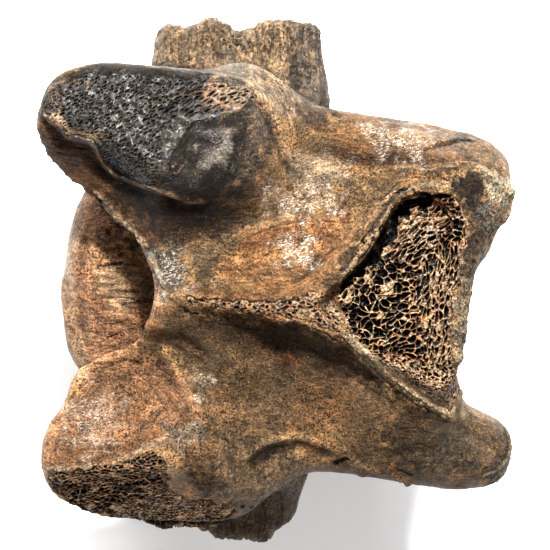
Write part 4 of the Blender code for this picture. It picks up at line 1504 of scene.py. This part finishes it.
# Cracks, slits, holes, grooves, lips, crests and crumbs, cut in this order
MARKS = (
    # slits and pores of the head
    Mark(Cut.SLIT, ((98, 267), (110, 266), (122, 263))),
    Mark(Cut.SLIT, ((118, 292), (139, 292)), 0.8),
    Mark(Cut.SLIT, ((123, 305), (145, 301)), 0.8),
    Mark(Cut.SLIT, ((112, 325), (121, 323)), 0.7),
    Mark(Cut.SLIT, ((108, 338), (117, 335)), 0.7),
    Mark(Cut.HOLE, ((109, 232),), 0.8),
    Mark(Cut.HOLE, ((121, 255),), 0.6),
    Mark(Cut.HOLE, ((98, 245),), 0.5),
    Mark(Cut.HAIRLINE, ((92, 300), (118, 297), (134, 299))),
    Mark(Cut.HAIRLINE, ((90, 352), (104, 346), (116, 347))),
    # striations of the right facet
    Mark(Cut.HAIRLINE, ((55, 139), (76, 142), (95, 141))),
    Mark(Cut.HAIRLINE, ((56, 146), (80, 148), (97, 150))),
    Mark(Cut.HAIRLINE, ((58, 153), (82, 155), (99, 160))),
    # torn lips of the dark tongue and of the arch notch
    Mark(Cut.LIP, ((39, 113), (50, 117), (60, 125), (65, 135), (78, 137), (92, 141), (97, 150),
                   (103, 163), (113, 173)), 0.6),
    Mark(Cut.LIP, ((113, 173), (134, 182), (155, 189)), 0.4),
    Mark(Cut.LIP, ((98, 194), (110, 204), (118, 214), (129, 227), (145, 243), (155, 261), (161, 283),
                   (166, 299)), 1.0),
    Mark(Cut.HAIRLINE, ((104, 192), (116, 203), (124, 213), (135, 226), (151, 243), (161, 261))),
    Mark(Cut.LIP, ((94, 192), (106, 203), (114, 212), (126, 226), (142, 243), (152, 262)), 0.7),
    # grooves of the tongue
    Mark(Cut.GROOVE, ((155, 118), (178, 104), (205, 88)), 0.9),
    Mark(Cut.GROOVE, ((150, 108), (170, 97), (192, 87)), 0.6),
    # cracks of the lamina and of the bar
    Mark(Cut.HAIRLINE, ((240, 270), (252, 284), (262, 300))),
    Mark(Cut.HAIRLINE, ((258, 277), (268, 287), (275, 295))),
    Mark(Cut.HAIRLINE, ((255, 235), (278, 225), (300, 222), (325, 221), (350, 223))),
    Mark(Cut.HAIRLINE, ((250, 262), (276, 250), (300, 246), (320, 240))),
    Mark(Cut.CRUMB, ((267, 282), (269, 284)), 0.8),
    Mark(Cut.CRACK, ((424, 150), (437, 145), (448, 143), (460, 139), (472, 140)), 2.0),
    Mark(Cut.HAIRLINE, ((398, 156), (412, 151), (424, 150))),
    Mark(Cut.CRACK, ((325, 122), (331, 118), (337, 112)), 0.8),
    Mark(Cut.CRACK, ((240, 90), (252, 98), (262, 106)), 0.8),
    # flakes beside the break
    Mark(Cut.CRACK, ((326, 274), (328, 262), (336, 252), (346, 245), (352, 250))),
    Mark(Cut.CRACK, ((326, 276), (342, 266), (356, 248), (372, 228), (386, 210))),
    Mark(Cut.HAIRLINE, ((318, 280), (340, 262), (358, 238), (376, 214), (392, 198))),
    Mark(Cut.LIP, ((334, 292), (346, 272), (362, 250), (378, 228), (392, 204), (404, 192)), 0.6),
    Mark(Cut.LIP, ((330, 300), (345, 322), (366, 344), (385, 362)), 0.8),
    Mark(Cut.LIP, ((352, 339), (370, 357), (392, 376), (412, 391), (430, 404), (450, 416)), 1.2),
    Mark(Cut.HAIRLINE, ((356, 338), (376, 357), (396, 374), (416, 389), (440, 405)), 1.2),
    Mark(Cut.LIP, ((366, 358), (384, 375), (404, 390), (424, 404)), 0.6),
    # the ridge and the black line under it
    Mark(Cut.CREST, ((172, 296), (200, 298), (240, 301), (285, 300), (320, 297)), 1.0),
    Mark(Cut.CRACK, ((185, 311), (220, 315), (262, 319), (300, 323), (326, 334), (350, 352))),
    # the torn upper plate
    Mark(Cut.CRACK, ((164, 30), (166, 50)), 0.8),
    Mark(Cut.CRACK, ((196, 25), (197, 40), (194, 52)), 0.8),
    Mark(Cut.CRACK, ((180, 26), (182, 44), (181, 60)), 0.6),
    Mark(Cut.CRACK, ((232, 33), (236, 52), (246, 66)), 0.7),
    Mark(Cut.CRACK, ((262, 24), (264, 44)), 0.6),
    Mark(Cut.CRACK, ((206, 22), (212, 40), (218, 62)), 0.7),
    Mark(Cut.HOLE, ((266, 50), (268, 52)), 0.7),
    Mark(Cut.HAIRLINE, ((170, 34), (173, 58))),
    Mark(Cut.HAIRLINE, ((252, 32), (254, 60))),
    Mark(Cut.HAIRLINE, ((276, 24), (279, 60))),
    Mark(Cut.HAIRLINE, ((188, 34), (189, 62))),
    # the left facet
    Mark(Cut.GROOVE, ((112, 364), (126, 361), (140, 364)), 0.9),
    Mark(Cut.HAIRLINE, ((135, 372), (140, 375), (145, 380))),
    Mark(Cut.HAIRLINE, ((160, 388), (172, 402), (185, 421))),
    Mark(Cut.HAIRLINE, ((150, 384), (160, 400), (170, 418))),
    Mark(Cut.HOLE, ((126, 435),), 0.6),
    Mark(Cut.LIP, ((50, 470), (80, 468), (110, 465), (136, 453), (160, 440), (180, 430), (196, 424)),
         1.2),
    Mark(Cut.LIP, ((85, 438), (98, 440), (112, 439)), 0.5),
    Mark(Cut.LIP, ((84, 452), (102, 451), (120, 454)), 0.5),
    # the lower lamina, the left rear process and the lower plate
    Mark(Cut.SLIT, ((337, 463), (346, 461)), 2.0),
    Mark(Cut.CREST, ((340, 440), (348, 452), (356, 463), (380, 473)), 0.8),
    Mark(Cut.HOLE, ((243, 507),), 0.6),
    Mark(Cut.HOLE, ((252, 508),), 0.6),
    Mark(Cut.CRUMB, ((386, 467), (396, 474), (408, 482)), 1.2),
    Mark(Cut.CRUMB, ((413, 413), (414, 415)), 0.6),
    Mark(Cut.CRUMB, ((468, 459), (470, 461)), 0.6),
    Mark(Cut.LIP, ((484, 476), (497, 470), (506, 460), (512, 446)), 0.9),
    Mark(Cut.CRACK, ((482, 470), (494, 464), (502, 455)), 0.8),
    Mark(Cut.HAIRLINE, ((262, 500), (266, 518), (264, 532))),
    Mark(Cut.HAIRLINE, ((280, 492), (283, 512))),
    Mark(Cut.LIP, ((486, 182), (498, 183), (510, 196)), 0.8),
    # the knob and the crumbly rim between the bar and the break
    Mark(Cut.LIP, ((392, 170), (404, 167), (425, 170), (442, 168), (458, 165)), 0.7),
    Mark(Cut.LIP, ((470, 166), (482, 170), (490, 176), (500, 184), (512, 195)), 1.8),
    Mark(Cut.LIP, ((484, 174), (489, 186), (492, 198)), 1.2),
    Mark(Cut.LIP, ((406, 189), (428, 184), (448, 188)), 1.0),
    Mark(Cut.CRACK, ((350, 193), (366, 185), (384, 180), (398, 176)), 0.8),
    Mark(Cut.CRACK, ((396, 184), (412, 178), (430, 177), (448, 180)), 0.8),
    Mark(Cut.CRACK, ((404, 172), (418, 175), (436, 173)), 0.6),
    Mark(Cut.CRACK, ((440, 176), (452, 184), (458, 194)), 0.7),
    Mark(Cut.CRACK, ((462, 176), (470, 190), (474, 204)), 0.7),
    Mark(Cut.CRACK, ((476, 210), (486, 222), (484, 236)), 0.8),
    Mark(Cut.CRACK, ((494, 204), (500, 214), (494, 224)), 0.6),
    Mark(Cut.SLIT, ((472, 232), (478, 242)), 0.8),
    Mark(Cut.SLIT, ((466, 216), (470, 222)), 0.8),
    Mark(Cut.CRACK, ((461, 268), (460, 300), (458, 340)), 0.7),
    Mark(Cut.CRACK, ((464, 284), (463, 330), (464, 368)), 0.6),
    Mark(Cut.SLIT, ((466, 244), (465, 258)), 0.7),
    Mark(Cut.HOLE, ((480, 252),), 0.7),
    Mark(Cut.HOLE, ((474, 262),), 0.6),
    # flaky walls round the break
    Mark(Cut.CRACK, ((352, 234), (344, 246), (350, 256)), 0.7),
    Mark(Cut.CRACK, ((372, 212), (364, 224), (356, 240)), 0.7),
    Mark(Cut.CRACK, ((388, 192), (380, 204), (374, 218)), 0.7),
    Mark(Cut.CRACK, ((314, 284), (322, 272), (334, 262)), 0.7),
    Mark(Cut.CRACK, ((306, 288), (318, 284), (328, 280)), 0.6),
    Mark(Cut.CRACK, ((346, 345), (360, 356), (374, 370), (392, 386)), 0.9),
    Mark(Cut.CRACK, ((340, 336), (352, 348), (368, 360)), 0.7),
    Mark(Cut.LIP, ((336, 322), (350, 338), (366, 352), (380, 366)), 0.8),
    Mark(Cut.CRACK, ((404, 396), (424, 409), (446, 420)), 0.9),
    # cracks and pits of the lower lamina and the left rear process
    Mark(Cut.HAIRLINE, ((196, 320), (230, 326), (262, 330), (300, 342), (334, 364))),
    Mark(Cut.HAIRLINE, ((340, 370), (362, 384), (390, 400), (420, 418))),
    Mark(Cut.HOLE, ((302, 412),), 0.4),
    Mark(Cut.HOLE, ((286, 396),), 0.35),
    Mark(Cut.HOLE, ((268, 372),), 0.35),
    Mark(Cut.HOLE, ((330, 398),), 0.35),
    Mark(Cut.HOLE, ((246, 410),), 0.35),
    Mark(Cut.HAIRLINE, ((222, 426), (236, 420), (246, 424))),
    Mark(Cut.CRACK, ((352, 446), (362, 462), (378, 474)), 0.7),
    Mark(Cut.CRACK, ((386, 463), (398, 470), (412, 476)), 0.9),
    Mark(Cut.HAIRLINE, ((400, 430), (416, 428), (430, 434))),
    Mark(Cut.HAIRLINE, ((402, 446), (420, 444), (440, 452))),
    Mark(Cut.CRACK, ((504, 428), (508, 444), (502, 462), (490, 474)), 0.8),
    # the pillar between the left facet and the lamina
    Mark(Cut.HAIRLINE, ((180, 332), (190, 350), (204, 366), (214, 388))),
    Mark(Cut.HAIRLINE, ((172, 338), (182, 360), (196, 380), (206, 402))),
    Mark(Cut.CRACK, ((208, 432), (226, 440), (240, 452)), 0.7),
    Mark(Cut.CRACK, ((186, 452), (190, 470), (198, 484)), 0.7),
)

# Stains of the hidden sides: strength, noise where they start and are full, its size and seed, pigment
HIDDEN_STAINS = (
    (0.6, 0.0, 0.35, 9.0, 4.0, Pigment.GREY_BROWN),
    (0.3, 0.1, 0.4, 7.0, 6.0, Pigment.ORANGE),
    (0.35, 0.15, 0.4, 6.0, 8.0, Pigment.CHARCOAL),
)

# The four places where the spongy bone is open
STRUTS = (Pigment.TAN, Pigment.BROWN, Pigment.HONEY, Pigment.DEEP_BROWN)
SPONGY_PATCHES = (
    SpongyPatch(
        "spine_spongiosa", BREAK_EDGE,
        (
            Cells(1.4, 0.04, DIAGONAL, 1.5, 2.6, 1.0),
            Cells(1.05, 0.05, DIAGONAL, 3.0, 2.4, 2.0,
                  ((352, 268), (405, 195), (455, 195), (440, 262), (380, 290))),
            Cells(1.9, 0.04, (0.8, 0.5, 0.0), 1.2, 3.0, 3.0,
                  ((334, 290), (352, 268), (396, 262), (402, 300), (372, 345), (345, 318))),
            Cells(0.9, 0.06, (0.1, 1.0, 0.1), 3.2, 2.4, 4.0,
                  ((422, 262), (470, 225), (470, 262), (462, 335), (466, 370), (425, 380), (412, 300))),
            Cells(0.9, 0.08, (0.7, -0.6, 0.0), 1.3, 2.0, 5.0,
                  ((378, 355), (425, 360), (470, 380), (450, 420), (400, 385))),
            # An open groove along the upper wall, which the finish paints black by its depth as painted
            # shade
            Cells(1.0, -1.0, depth=2.8, where=(
                (341, 283), (352, 267), (368, 246), (384, 222), (397, 201), (406, 193), (427, 190),
                (452, 193), (450, 198), (426, 199), (411, 206), (396, 225), (382, 246), (366, 263),
                (354, 275), (345, 286))),
        ),
        STRUTS, SpongyFinish("spine_spongy_bone", Pigment.CREAM, 0.36, 0.8),
        washes=(
            Wash(0.6, ((360, 268), (400, 205), (450, 200), (452, 262), (400, 280)), 6.0, 16.0,
                 Pigment.BROWN, 0.8),
            Wash(0.5, ((345, 262), (395, 262), (402, 320), (372, 345), (345, 315)), 6.0, 16.0, Pigment.PALE),
            Wash(0.6, ((440, 215), (472, 235), (466, 300), (466, 380), (432, 380), (430, 280)), 6.0,
                 16.0, Pigment.BROWN, 0.7),
            Wash(0.6, ((380, 352), (430, 358), (465, 385), (450, 420), (400, 388)), 5.0, 12.0,
                 Pigment.BROWN, 0.8),
            Wash(0.9, ((433, 198), (443, 199), (442, 210), (433, 209)), 1.5, 2.0, Pigment.ORANGE, 0.8),
        ),
    ),
    SpongyPatch(
        "ridge_spongiosa", RIDGE_EDGE, (Cells(1.0, 0.12, (1.0, 0.0, 0.1), 1.6, 1.5, 6.0),),
        (Pigment.BROWN, Pigment.EARTH, Pigment.TAN, Pigment.DEEP_BROWN),
        SpongyFinish("ridge_spongy_bone", Pigment.BEIGE, 0.4),
        thick=2.6, filled=-0.25,
    ),
    SpongyPatch(
        "tongue_spongiosa", TONGUE_EDGE,
        (
            Cells(0.62, 0.06, DIAGONAL, 2.6, 1.1, 7.0),
            Cells(0.8, 0.07, (0.85, 0.5, 0.0), 3.4, 1.4, 8.0,
                  ((150, 118), (205, 72), (260, 96), (240, 112), (190, 122))),
            Cells(0.7, 0.16, DIAGONAL, 2.6, 0.35, 12.0,
                  ((158, 134), (180, 118), (240, 104), (262, 110), (190, 200), (158, 196))),
        ),
        (Pigment.CHARCOAL, Pigment.BLACK, Pigment.EARTH, Pigment.CHARCOAL, Pigment.BLACK, Pigment.BLACK),
        SpongyFinish("tongue_spongy_bone", Pigment.PALE, 0.05, 0.15), uneven=0.5,
        washes=(
            Wash(0.6, ((210, 84), (230, 76), (250, 86), (258, 96), (242, 108), (214, 108)), 5.0, 16.0,
                 Pigment.BEIGE, 0.8),
            Wash(0.3, ((204, 84), (232, 90), (232, 104), (210, 106)), 5.0, 24.0, Pigment.ORANGE, 0.6),
            Wash(0.6, ((40, 108), (48, 94), (60, 86), (66, 92), (52, 110)), 5.0, 10.0, Pigment.EARTH, 0.7),
            Wash(0.7, ((70, 92), (130, 80), (196, 84), (200, 130), (170, 180), (120, 166), (96, 130)),
                 6.0, 9.0, Pigment.BLACK, 1.7),
            Wash(0.7, ((46, 117), (58, 114), (74, 130), (96, 136), (98, 142), (68, 136)), 3.0, 6.0,
                 Pigment.PALE),
        ),
    ),
    SpongyPatch(
        "rim_spongiosa", RIM_EDGE,
        (
            Cells(1.45, 0.05, (1.0, 0.2, 0.2), 1.2, 2.6, 9.0),
            Cells(1.0, 0.06, (1.0, 0.2, 0.2), 1.3, 2.0, 10.0,
                  ((46, 470), (120, 460), (180, 440), (190, 470), (120, 482), (50, 490))),
            Cells(0.9, 0.06, (1.0, 0.2, 0.2), 1.5, 1.8, 11.0,
                  ((150, 485), (235, 498), (238, 520), (180, 530), (60, 512), (110, 512))),
        ),
        (Pigment.BROWN, Pigment.TAN, Pigment.DEEP_BROWN, Pigment.EARTH),
        SpongyFinish("rim_spongy_bone", Pigment.BEIGE, 0.34), uneven=0.4,
    ),
)


@dataclass(frozen=True)
class Cortex:
    """The bone's dense skin, with its breaks, marks and stains. Sizes are in millimetres."""

    voxel: float = 1.7
    soften: int = 3
    fine_bands: tuple[tuple[float, float], ...] = ((2.4, 0.6), (1.2, 0.35))
    swell: float = 0.35
    ripple: float = 0.14
    flakes: float = 5.0
    flake_step: float = 0.42
    tear: float = 2.4
    tear_from: float = 60.0
    tear_rise: float = 9.0
    splay: float = 0.7
    spread_rounds: int = 90
    pit_lip: float = 0.9
    pit_depth: float = 5.5
    pit_middle: tuple[float, float] = (28.0, 8.0)
    pit_bottom: float = 84.0
    sky: float = 300.0
    pit_wall: tuple[float, float] = (2.4, 6.0)
    pit_edge: Path = (
        (4.9, 1.8), (12.4, 8.8), (17.9, 15.8), (24.9, 29.3), (31.9, 31.3), (36.9, 29.8), (39.9, 20.8),
        (41.4, 4.8), (41.4, -8.2), (39.9, -16.7), (28.9, -11.2), (15.9, -5.2),
    )
    pit_low_wall: Path = ((6.0, 3.0), (12.4, 8.8), (17.9, 15.8), (24.9, 29.3), (36.0, 31.0))

    def skin(self) -> bpy.types.Mesh:
        """The CAD bone's surface, joined, rounded and evenly divided.

        Returns:
            A mesh in millimetres.
        """
        bm = bmesh.new()
        bm.from_mesh(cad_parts["vertebra"].data)
        bmesh.ops.remove_doubles(bm, verts=bm.verts, dist=1e-6)
        bmesh.ops.scale(bm, vec=(1.0 / MM,) * 3, verts=bm.verts)
        mesh = bpy.data.meshes.new("bone_clay")
        bm.to_mesh(mesh)
        bm.free()
        obj = bpy.data.objects.new("bone_clay", mesh)
        bpy.context.scene.collection.objects.link(obj)
        rounded = obj.modifiers.new("round", "SUBSURF")
        rounded.levels = rounded.render_levels = 1
        remesh = obj.modifiers.new("even", "REMESH")
        remesh.mode = "VOXEL"
        remesh.voxel_size = self.voxel
        smooth = obj.modifiers.new("soften", "SMOOTH")
        smooth.factor = 0.5
        smooth.iterations = self.soften
        return kept_mesh(obj)

    def fill_pit(self, clay: Clay) -> None:
        """Raises the floor of the break, except along its deep wall.

        Args:
            clay: the skin.
        """
        tree = clay.tree()
        rim = []
        for x, y in self.pit_edge:
            away = Vector((x - self.pit_middle[0], y - self.pit_middle[1])).normalized()
            hit = tree.ray_cast(Vector((x + away.x, y + away.y, self.sky)), Vector((0.0, 0.0, -1.0)))[0]
            rim.append(tuple(hit))
        rim = np.array(rim)
        plan = clay.co[:, :2]
        inside = Zone(1.0, self.pit_edge).inside(plan)
        picked = np.flatnonzero((inside > -0.6) & (clay.co[:, 2] > self.pit_bottom))
        gaps = np.linalg.norm(plan[picked, None] - rim[None, :, :2], axis=2)
        weight = 1.0 / np.maximum(gaps, 0.5) ** 2
        tilt = np.linalg.lstsq(np.c_[rim[:, :2], np.ones(len(rim))], rim[:, 2], rcond=None)[0]
        above = rim[:, 2] - rim[:, :2] @ tilt[:2] - tilt[2]
        level = plan[picked] @ tilt[:2] + tilt[2] + (weight @ above) / weight.sum(axis=1)
        wall = np.array(self.pit_low_wall)
        far = np.full(len(picked), FAR)
        for start, end in zip(wall, wall[1:]):
            far = np.minimum(far, gap_to_side(plan[picked], start, end))
        sunk = self.pit_lip + self.pit_depth * (1.0 - smoothstep(*self.pit_wall, far))
        clay.co[picked, 2] = np.maximum(clay.co[picked, 2], level - sunk)
        held = np.ones(len(clay.co), bool)
        held[picked[inside[picked] > 0.4]] = False
        clay.co = clay.average(clay.co, 5, held)
        clay.write()

    def model_relief(self, clay: Clay) -> None:
        """Raises the broad ridges and sinks the furrows that the photograph shows.

        Args:
            clay: the skin.
        """
        tree = clay.tree()
        for swell in RELIEF:
            picked, gap = clay.near(clay.trace(swell.path, tree, 3.0), swell.half * SWELL_REACH)
            push = np.exp(-((gap / swell.half) ** 2)) * swell.rise
            clay.co[picked] += clay.normal[picked] * push[:, None]
        clay.write()

    def flake(self, clay: Clay, shown: np.ndarray) -> None:
        """Splits the surface into thin steps where it is flaky.

        Args:
            clay: the skin.
            shown: which points the photograph shows.
        """
        spots = clay.camera.project(clay.co)
        fray = noise_at(clay.co, 3.2, 9.0)
        share = np.zeros(len(clay.co))
        for zone in FLAKY:
            share = np.maximum(share, zone.cover(spots, fray) * shown)
        level = self.flakes * (noise_at(clay.co, 4.5, 80.0) + 0.5 * noise_at(clay.co, 1.7, 81.0))
        step = np.floor(level)
        step += smoothstep(0.30, 0.55, level - step)
        clay.co += clay.normal * (share * (step - level * 0.5) * self.flake_step)[:, None]

    def cut_marks(self, clay: Clay, paths: list[np.ndarray]) -> None:
        """Presses every mark into the skin along its traced path.

        Args:
            clay: the skin.
            paths: each mark's traced places.
        """
        rough = noise_at(clay.co, 1.1, 55.0)
        for mark, places in zip(MARKS, paths):
            half, depth, *_ = mark.cut.value
            half, depth = half * mark.scale, depth * mark.scale
            picked, gap = clay.near(places, half * REACH)
            press = np.exp(-((gap / half) ** 2)) * depth * (1.0 + 0.9 * rough[picked])
            clay.co[picked] -= clay.normal[picked] * press[:, None]

    def tear_plates(self, clay: Clay) -> None:
        """Tears the outer edges of both transverse plates; the upper one follows the photograph.

        Args:
            clay: the skin.
        """
        reach = np.abs(clay.co[:, 1])
        low = smoothstep(self.tear_from, self.tear_from + self.tear_rise, reach)
        across = clay.co * np.array((1.0, 0.05, 0.35))
        jag = smoothstep(0.0, 0.25, noise_at(across, 4.2, 70.0))
        fine = smoothstep(-0.1, 0.3, noise_at(across, 1.4, 71.0))
        torn = np.where(clay.co[:, 1] > 0.0, 0.35 * fine, 0.7 * jag + 0.3 * fine)
        clay.co[:, 1] -= np.sign(clay.co[:, 1]) * low * torn * self.tear
        spots = clay.camera.project(clay.co)
        edge = np.interp(spots[:, 0], *np.array(PLATE_EDGE).T)
        over = np.maximum(edge - spots[:, 1], 0.0) * PIXEL * (reach > self.tear_from - 6.0)
        clay.co[:, 1] -= np.where(clay.co[:, 1] > 0.0, over, 0.0)
        splay = noise_at(clay.co * np.array((1.0, 0.12, 0.6)), 1.6, 72.0)
        clay.co += clay.normal * (low * splay * self.splay)[:, None]

    def washed(self, clay: Clay, broad: np.ndarray, shown: np.ndarray) -> np.ndarray:
        """Colours of the side that the photograph shows.

        Args:
            clay: the worked skin.
            broad: a broad pattern.
            shown: which points the photograph shows.

        Returns:
            A linear colour for each point.
        """
        tint = np.tile(Pigment.TAN.linear, (len(clay.co), 1))
        lay(tint, 0.55 * smoothstep(-0.1, 0.4, broad), Pigment.BROWN.linear)
        spots = clay.camera.project(clay.co)
        fray = clay.fray()
        for wash in WASHES:
            lay(tint, wash.cover(spots, fray) * shown, wash.stain)
        return tint

    def mottled(self, clay: Clay, broad: np.ndarray) -> np.ndarray:
        """Colours of the hidden sides.

        Args:
            clay: the worked skin.
            broad: a broad pattern.

        Returns:
            A linear colour for each point.
        """
        tint = np.tile(Pigment.BROWN.linear, (len(clay.co), 1))
        lay(tint, smoothstep(-0.05, 0.3, broad), Pigment.TAN.linear)
        for strength, low, high, size, seed, pigment in HIDDEN_STAINS:
            lay(tint, strength * smoothstep(low, high, noise_at(clay.co, size, seed)), pigment.linear)
        return tint

    def paint(
        self,
        clay: Clay,
        paths: list[np.ndarray],
        shown: np.ndarray,
        hollow: np.ndarray,
    ) -> np.ndarray:
        """Stains of the whole skin and its marks, with painted shade in hollows and painted light on ridges.

        Args:
            clay: the worked skin.
            paths: each mark's traced places.
            shown: which points the photograph shows.
            hollow: how hollow the skin is at each point, below zero on ridges.

        Returns:
            A linear colour for each point.
        """
        broad = noise_at(clay.co, 16.0, 2.0)
        near_side = self.washed(clay, broad, shown)
        trust = clay.average(shown.astype(float), self.spread_rounds)
        spread = clay.average(np.where(shown[:, None], near_side, 0.0), self.spread_rounds)
        spread /= np.maximum(trust, 1e-3)[:, None]
        share = smoothstep(0.0, 0.2, trust)[:, None]
        hidden = share * spread + (1.0 - share) * self.mottled(clay, broad)
        tint = np.where(shown[:, None], near_side, hidden)
        dip = ((clay.average(clay.co, 3) - clay.co) * clay.normal).sum(axis=1)
        # Painted shade in broad hollows and small dips, painted light on ridges and small crests
        tint *= 1.0 - 0.5 * smoothstep(0.1, 1.1, hollow)[:, None]
        tint *= 1.0 + 0.22 * smoothstep(0.1, 0.9, -hollow)[:, None]
        tint *= 1.0 - 0.45 * smoothstep(0.01, 0.12, dip)[:, None]
        tint *= 1.0 + 0.25 * smoothstep(0.01, 0.12, -dip)[:, None]
        patchy = np.clip(1.0 + 1.2 * clay.fray(), 0.2, 1.0)
        for mark, places in zip(MARKS, paths):
            half, _, strength, pigment = mark.cut.value
            picked, gap = clay.near(places, half * mark.scale * REACH)
            share = np.zeros(len(clay.co))
            share[picked] = strength * np.exp(-((gap / (half * mark.scale * 1.1)) ** 2))
            lay(tint, share * patchy, pigment.linear)
        return tint

    def dress(self, clay: Clay, shown: np.ndarray) -> None:
        """Stores where the skin is glossy, grained, worn and porous, and where highlights are painted.

        Args:
            clay: the worked skin.
            shown: which points the photograph shows.
        """
        spots = clay.camera.project(clay.co)
        fray = clay.fray()
        gloss = 0.12 + 0.3 * noise_at(clay.co, 6.0, 15.0)
        wear = 0.25 + 0.6 * noise_at(clay.co, 8.0, 16.0)
        # Where pale sparks and a sheen are painted as painted highlight, and the coat thickens
        glint_paint_and_coat = np.zeros(len(clay.co))
        for values, zones in ((gloss, GLOSS), (wear, WEAR), (glint_paint_and_coat, GLINT_PAINT_ZONES)):
            for zone in zones:
                values[:] = np.maximum(values, zone.cover(spots, fray) * shown)
        grain = np.tile((0.2, 0.1, 0.1), (len(clay.co), 1))
        for zone, way in GRAIN:
            share = zone.cover(spots, fray) * shown
            grain *= 1.0 - share[:, None]
            grain[:, way] += share
        clay.attribute("gloss", np.clip(gloss, 0.0, 1.0))
        clay.attribute("wear", np.clip(wear, 0.0, 1.0))
        clay.attribute("glint_paint_and_coat", glint_paint_and_coat)
        clay.attribute("pore", np.clip(0.4 + 0.8 * noise_at(clay.co, 7.0, 17.0), 0.0, 1.0))
        clay.attribute("grain", grain)

    def build(self, camera: PhotoCamera) -> list[bpy.types.Object]:
        """Makes the skin and the spongy pieces that are set into it.

        Args:
            camera: the photograph's camera.

        Returns:
            The finished pieces.
        """
        low, high = (np.array(corner) / MM for corner in CAD_BOX)
        clay = Clay(self.skin(), camera)
        clay.co += self.swell * clay.normal * 0.5
        self.fill_pit(clay)
        clay.refine(clay.average(clay.seen().astype(float), 2) > 0.0)
        self.model_relief(clay)
        shown = clay.seen()
        pieces = [patch.build(clay, shown) for patch in SPONGY_PATCHES]
        tree = clay.tree()
        paths = [clay.trace(mark.path, tree) for mark in MARKS]
        for widths, margin in self.fine_bands:
            shown = clay.seen()
            wanted = np.zeros(len(clay.co), bool)
            for mark, places in zip(MARKS, paths):
                reach = mark.cut.value[0] * mark.scale * widths + margin
                wanted[clay.near(places, reach)[0]] = True
            if margin > 0.5:
                wanted |= np.abs(clay.co[:, 1]) > self.tear_from + 1.0
                spots = camera.project(clay.co)
                for zone in FLAKY:
                    wanted |= shown & (zone.inside(spots) > 0.0)
            clay.refine(wanted)
        shown = clay.seen()
        inside = [patch.depth_inside(clay, shown) for patch in SPONGY_PATCHES]
        base = clay.normal.copy()
        self.flake(clay, shown)
        self.cut_marks(clay, paths)
        self.tear_plates(clay)
        ripple = noise_at(clay.co, 5.0, 60.0) + 0.6 * noise_at(clay.co, 2.2, 61.0)
        ripple += 0.5 * noise_at(clay.co, 1.2, 62.0)
        clay.co += base * (self.ripple * ripple)[:, None]
        sunk = np.zeros(len(clay.co))
        for patch, depth in zip(SPONGY_PATCHES, inside):
            sunk = np.maximum(sunk, patch.recess(depth))
        clay.co -= base * sunk[:, None]
        clay.co = np.clip(clay.co, low, high)
        clay.write()
        mean = clay.average(clay.co, 30)
        hollow = ((mean - clay.co) * clay.normal).sum(axis=1)
        hollow[sunk > 0.05] = 0.0
        tint = self.paint(clay, paths, shown, hollow)
        # Painted shade: the skin sunk under the spongy pieces is painted black
        lay(tint, smoothstep(0.3, 1.6, sunk), Pigment.BLACK.linear)
        clay.attribute("tint", tint)
        self.dress(clay, shown)
        pieces.append(finished_piece("vertebra_cortex", clay.mesh, CortexFinish().build()))
        return pieces


def main() -> None:
    """Builds the camera, the light, the floor and the bone, and reports each piece."""
    logging.basicConfig(level=logging.INFO, format="%(message)s")
    camera = PhotoCamera()
    camera.build()
    StudioLight().build()
    PaleFloor().build()
    for piece in Cortex().build(camera):
        logging.info("built %s", piece.name)


if __name__ == "__main__":
    main()
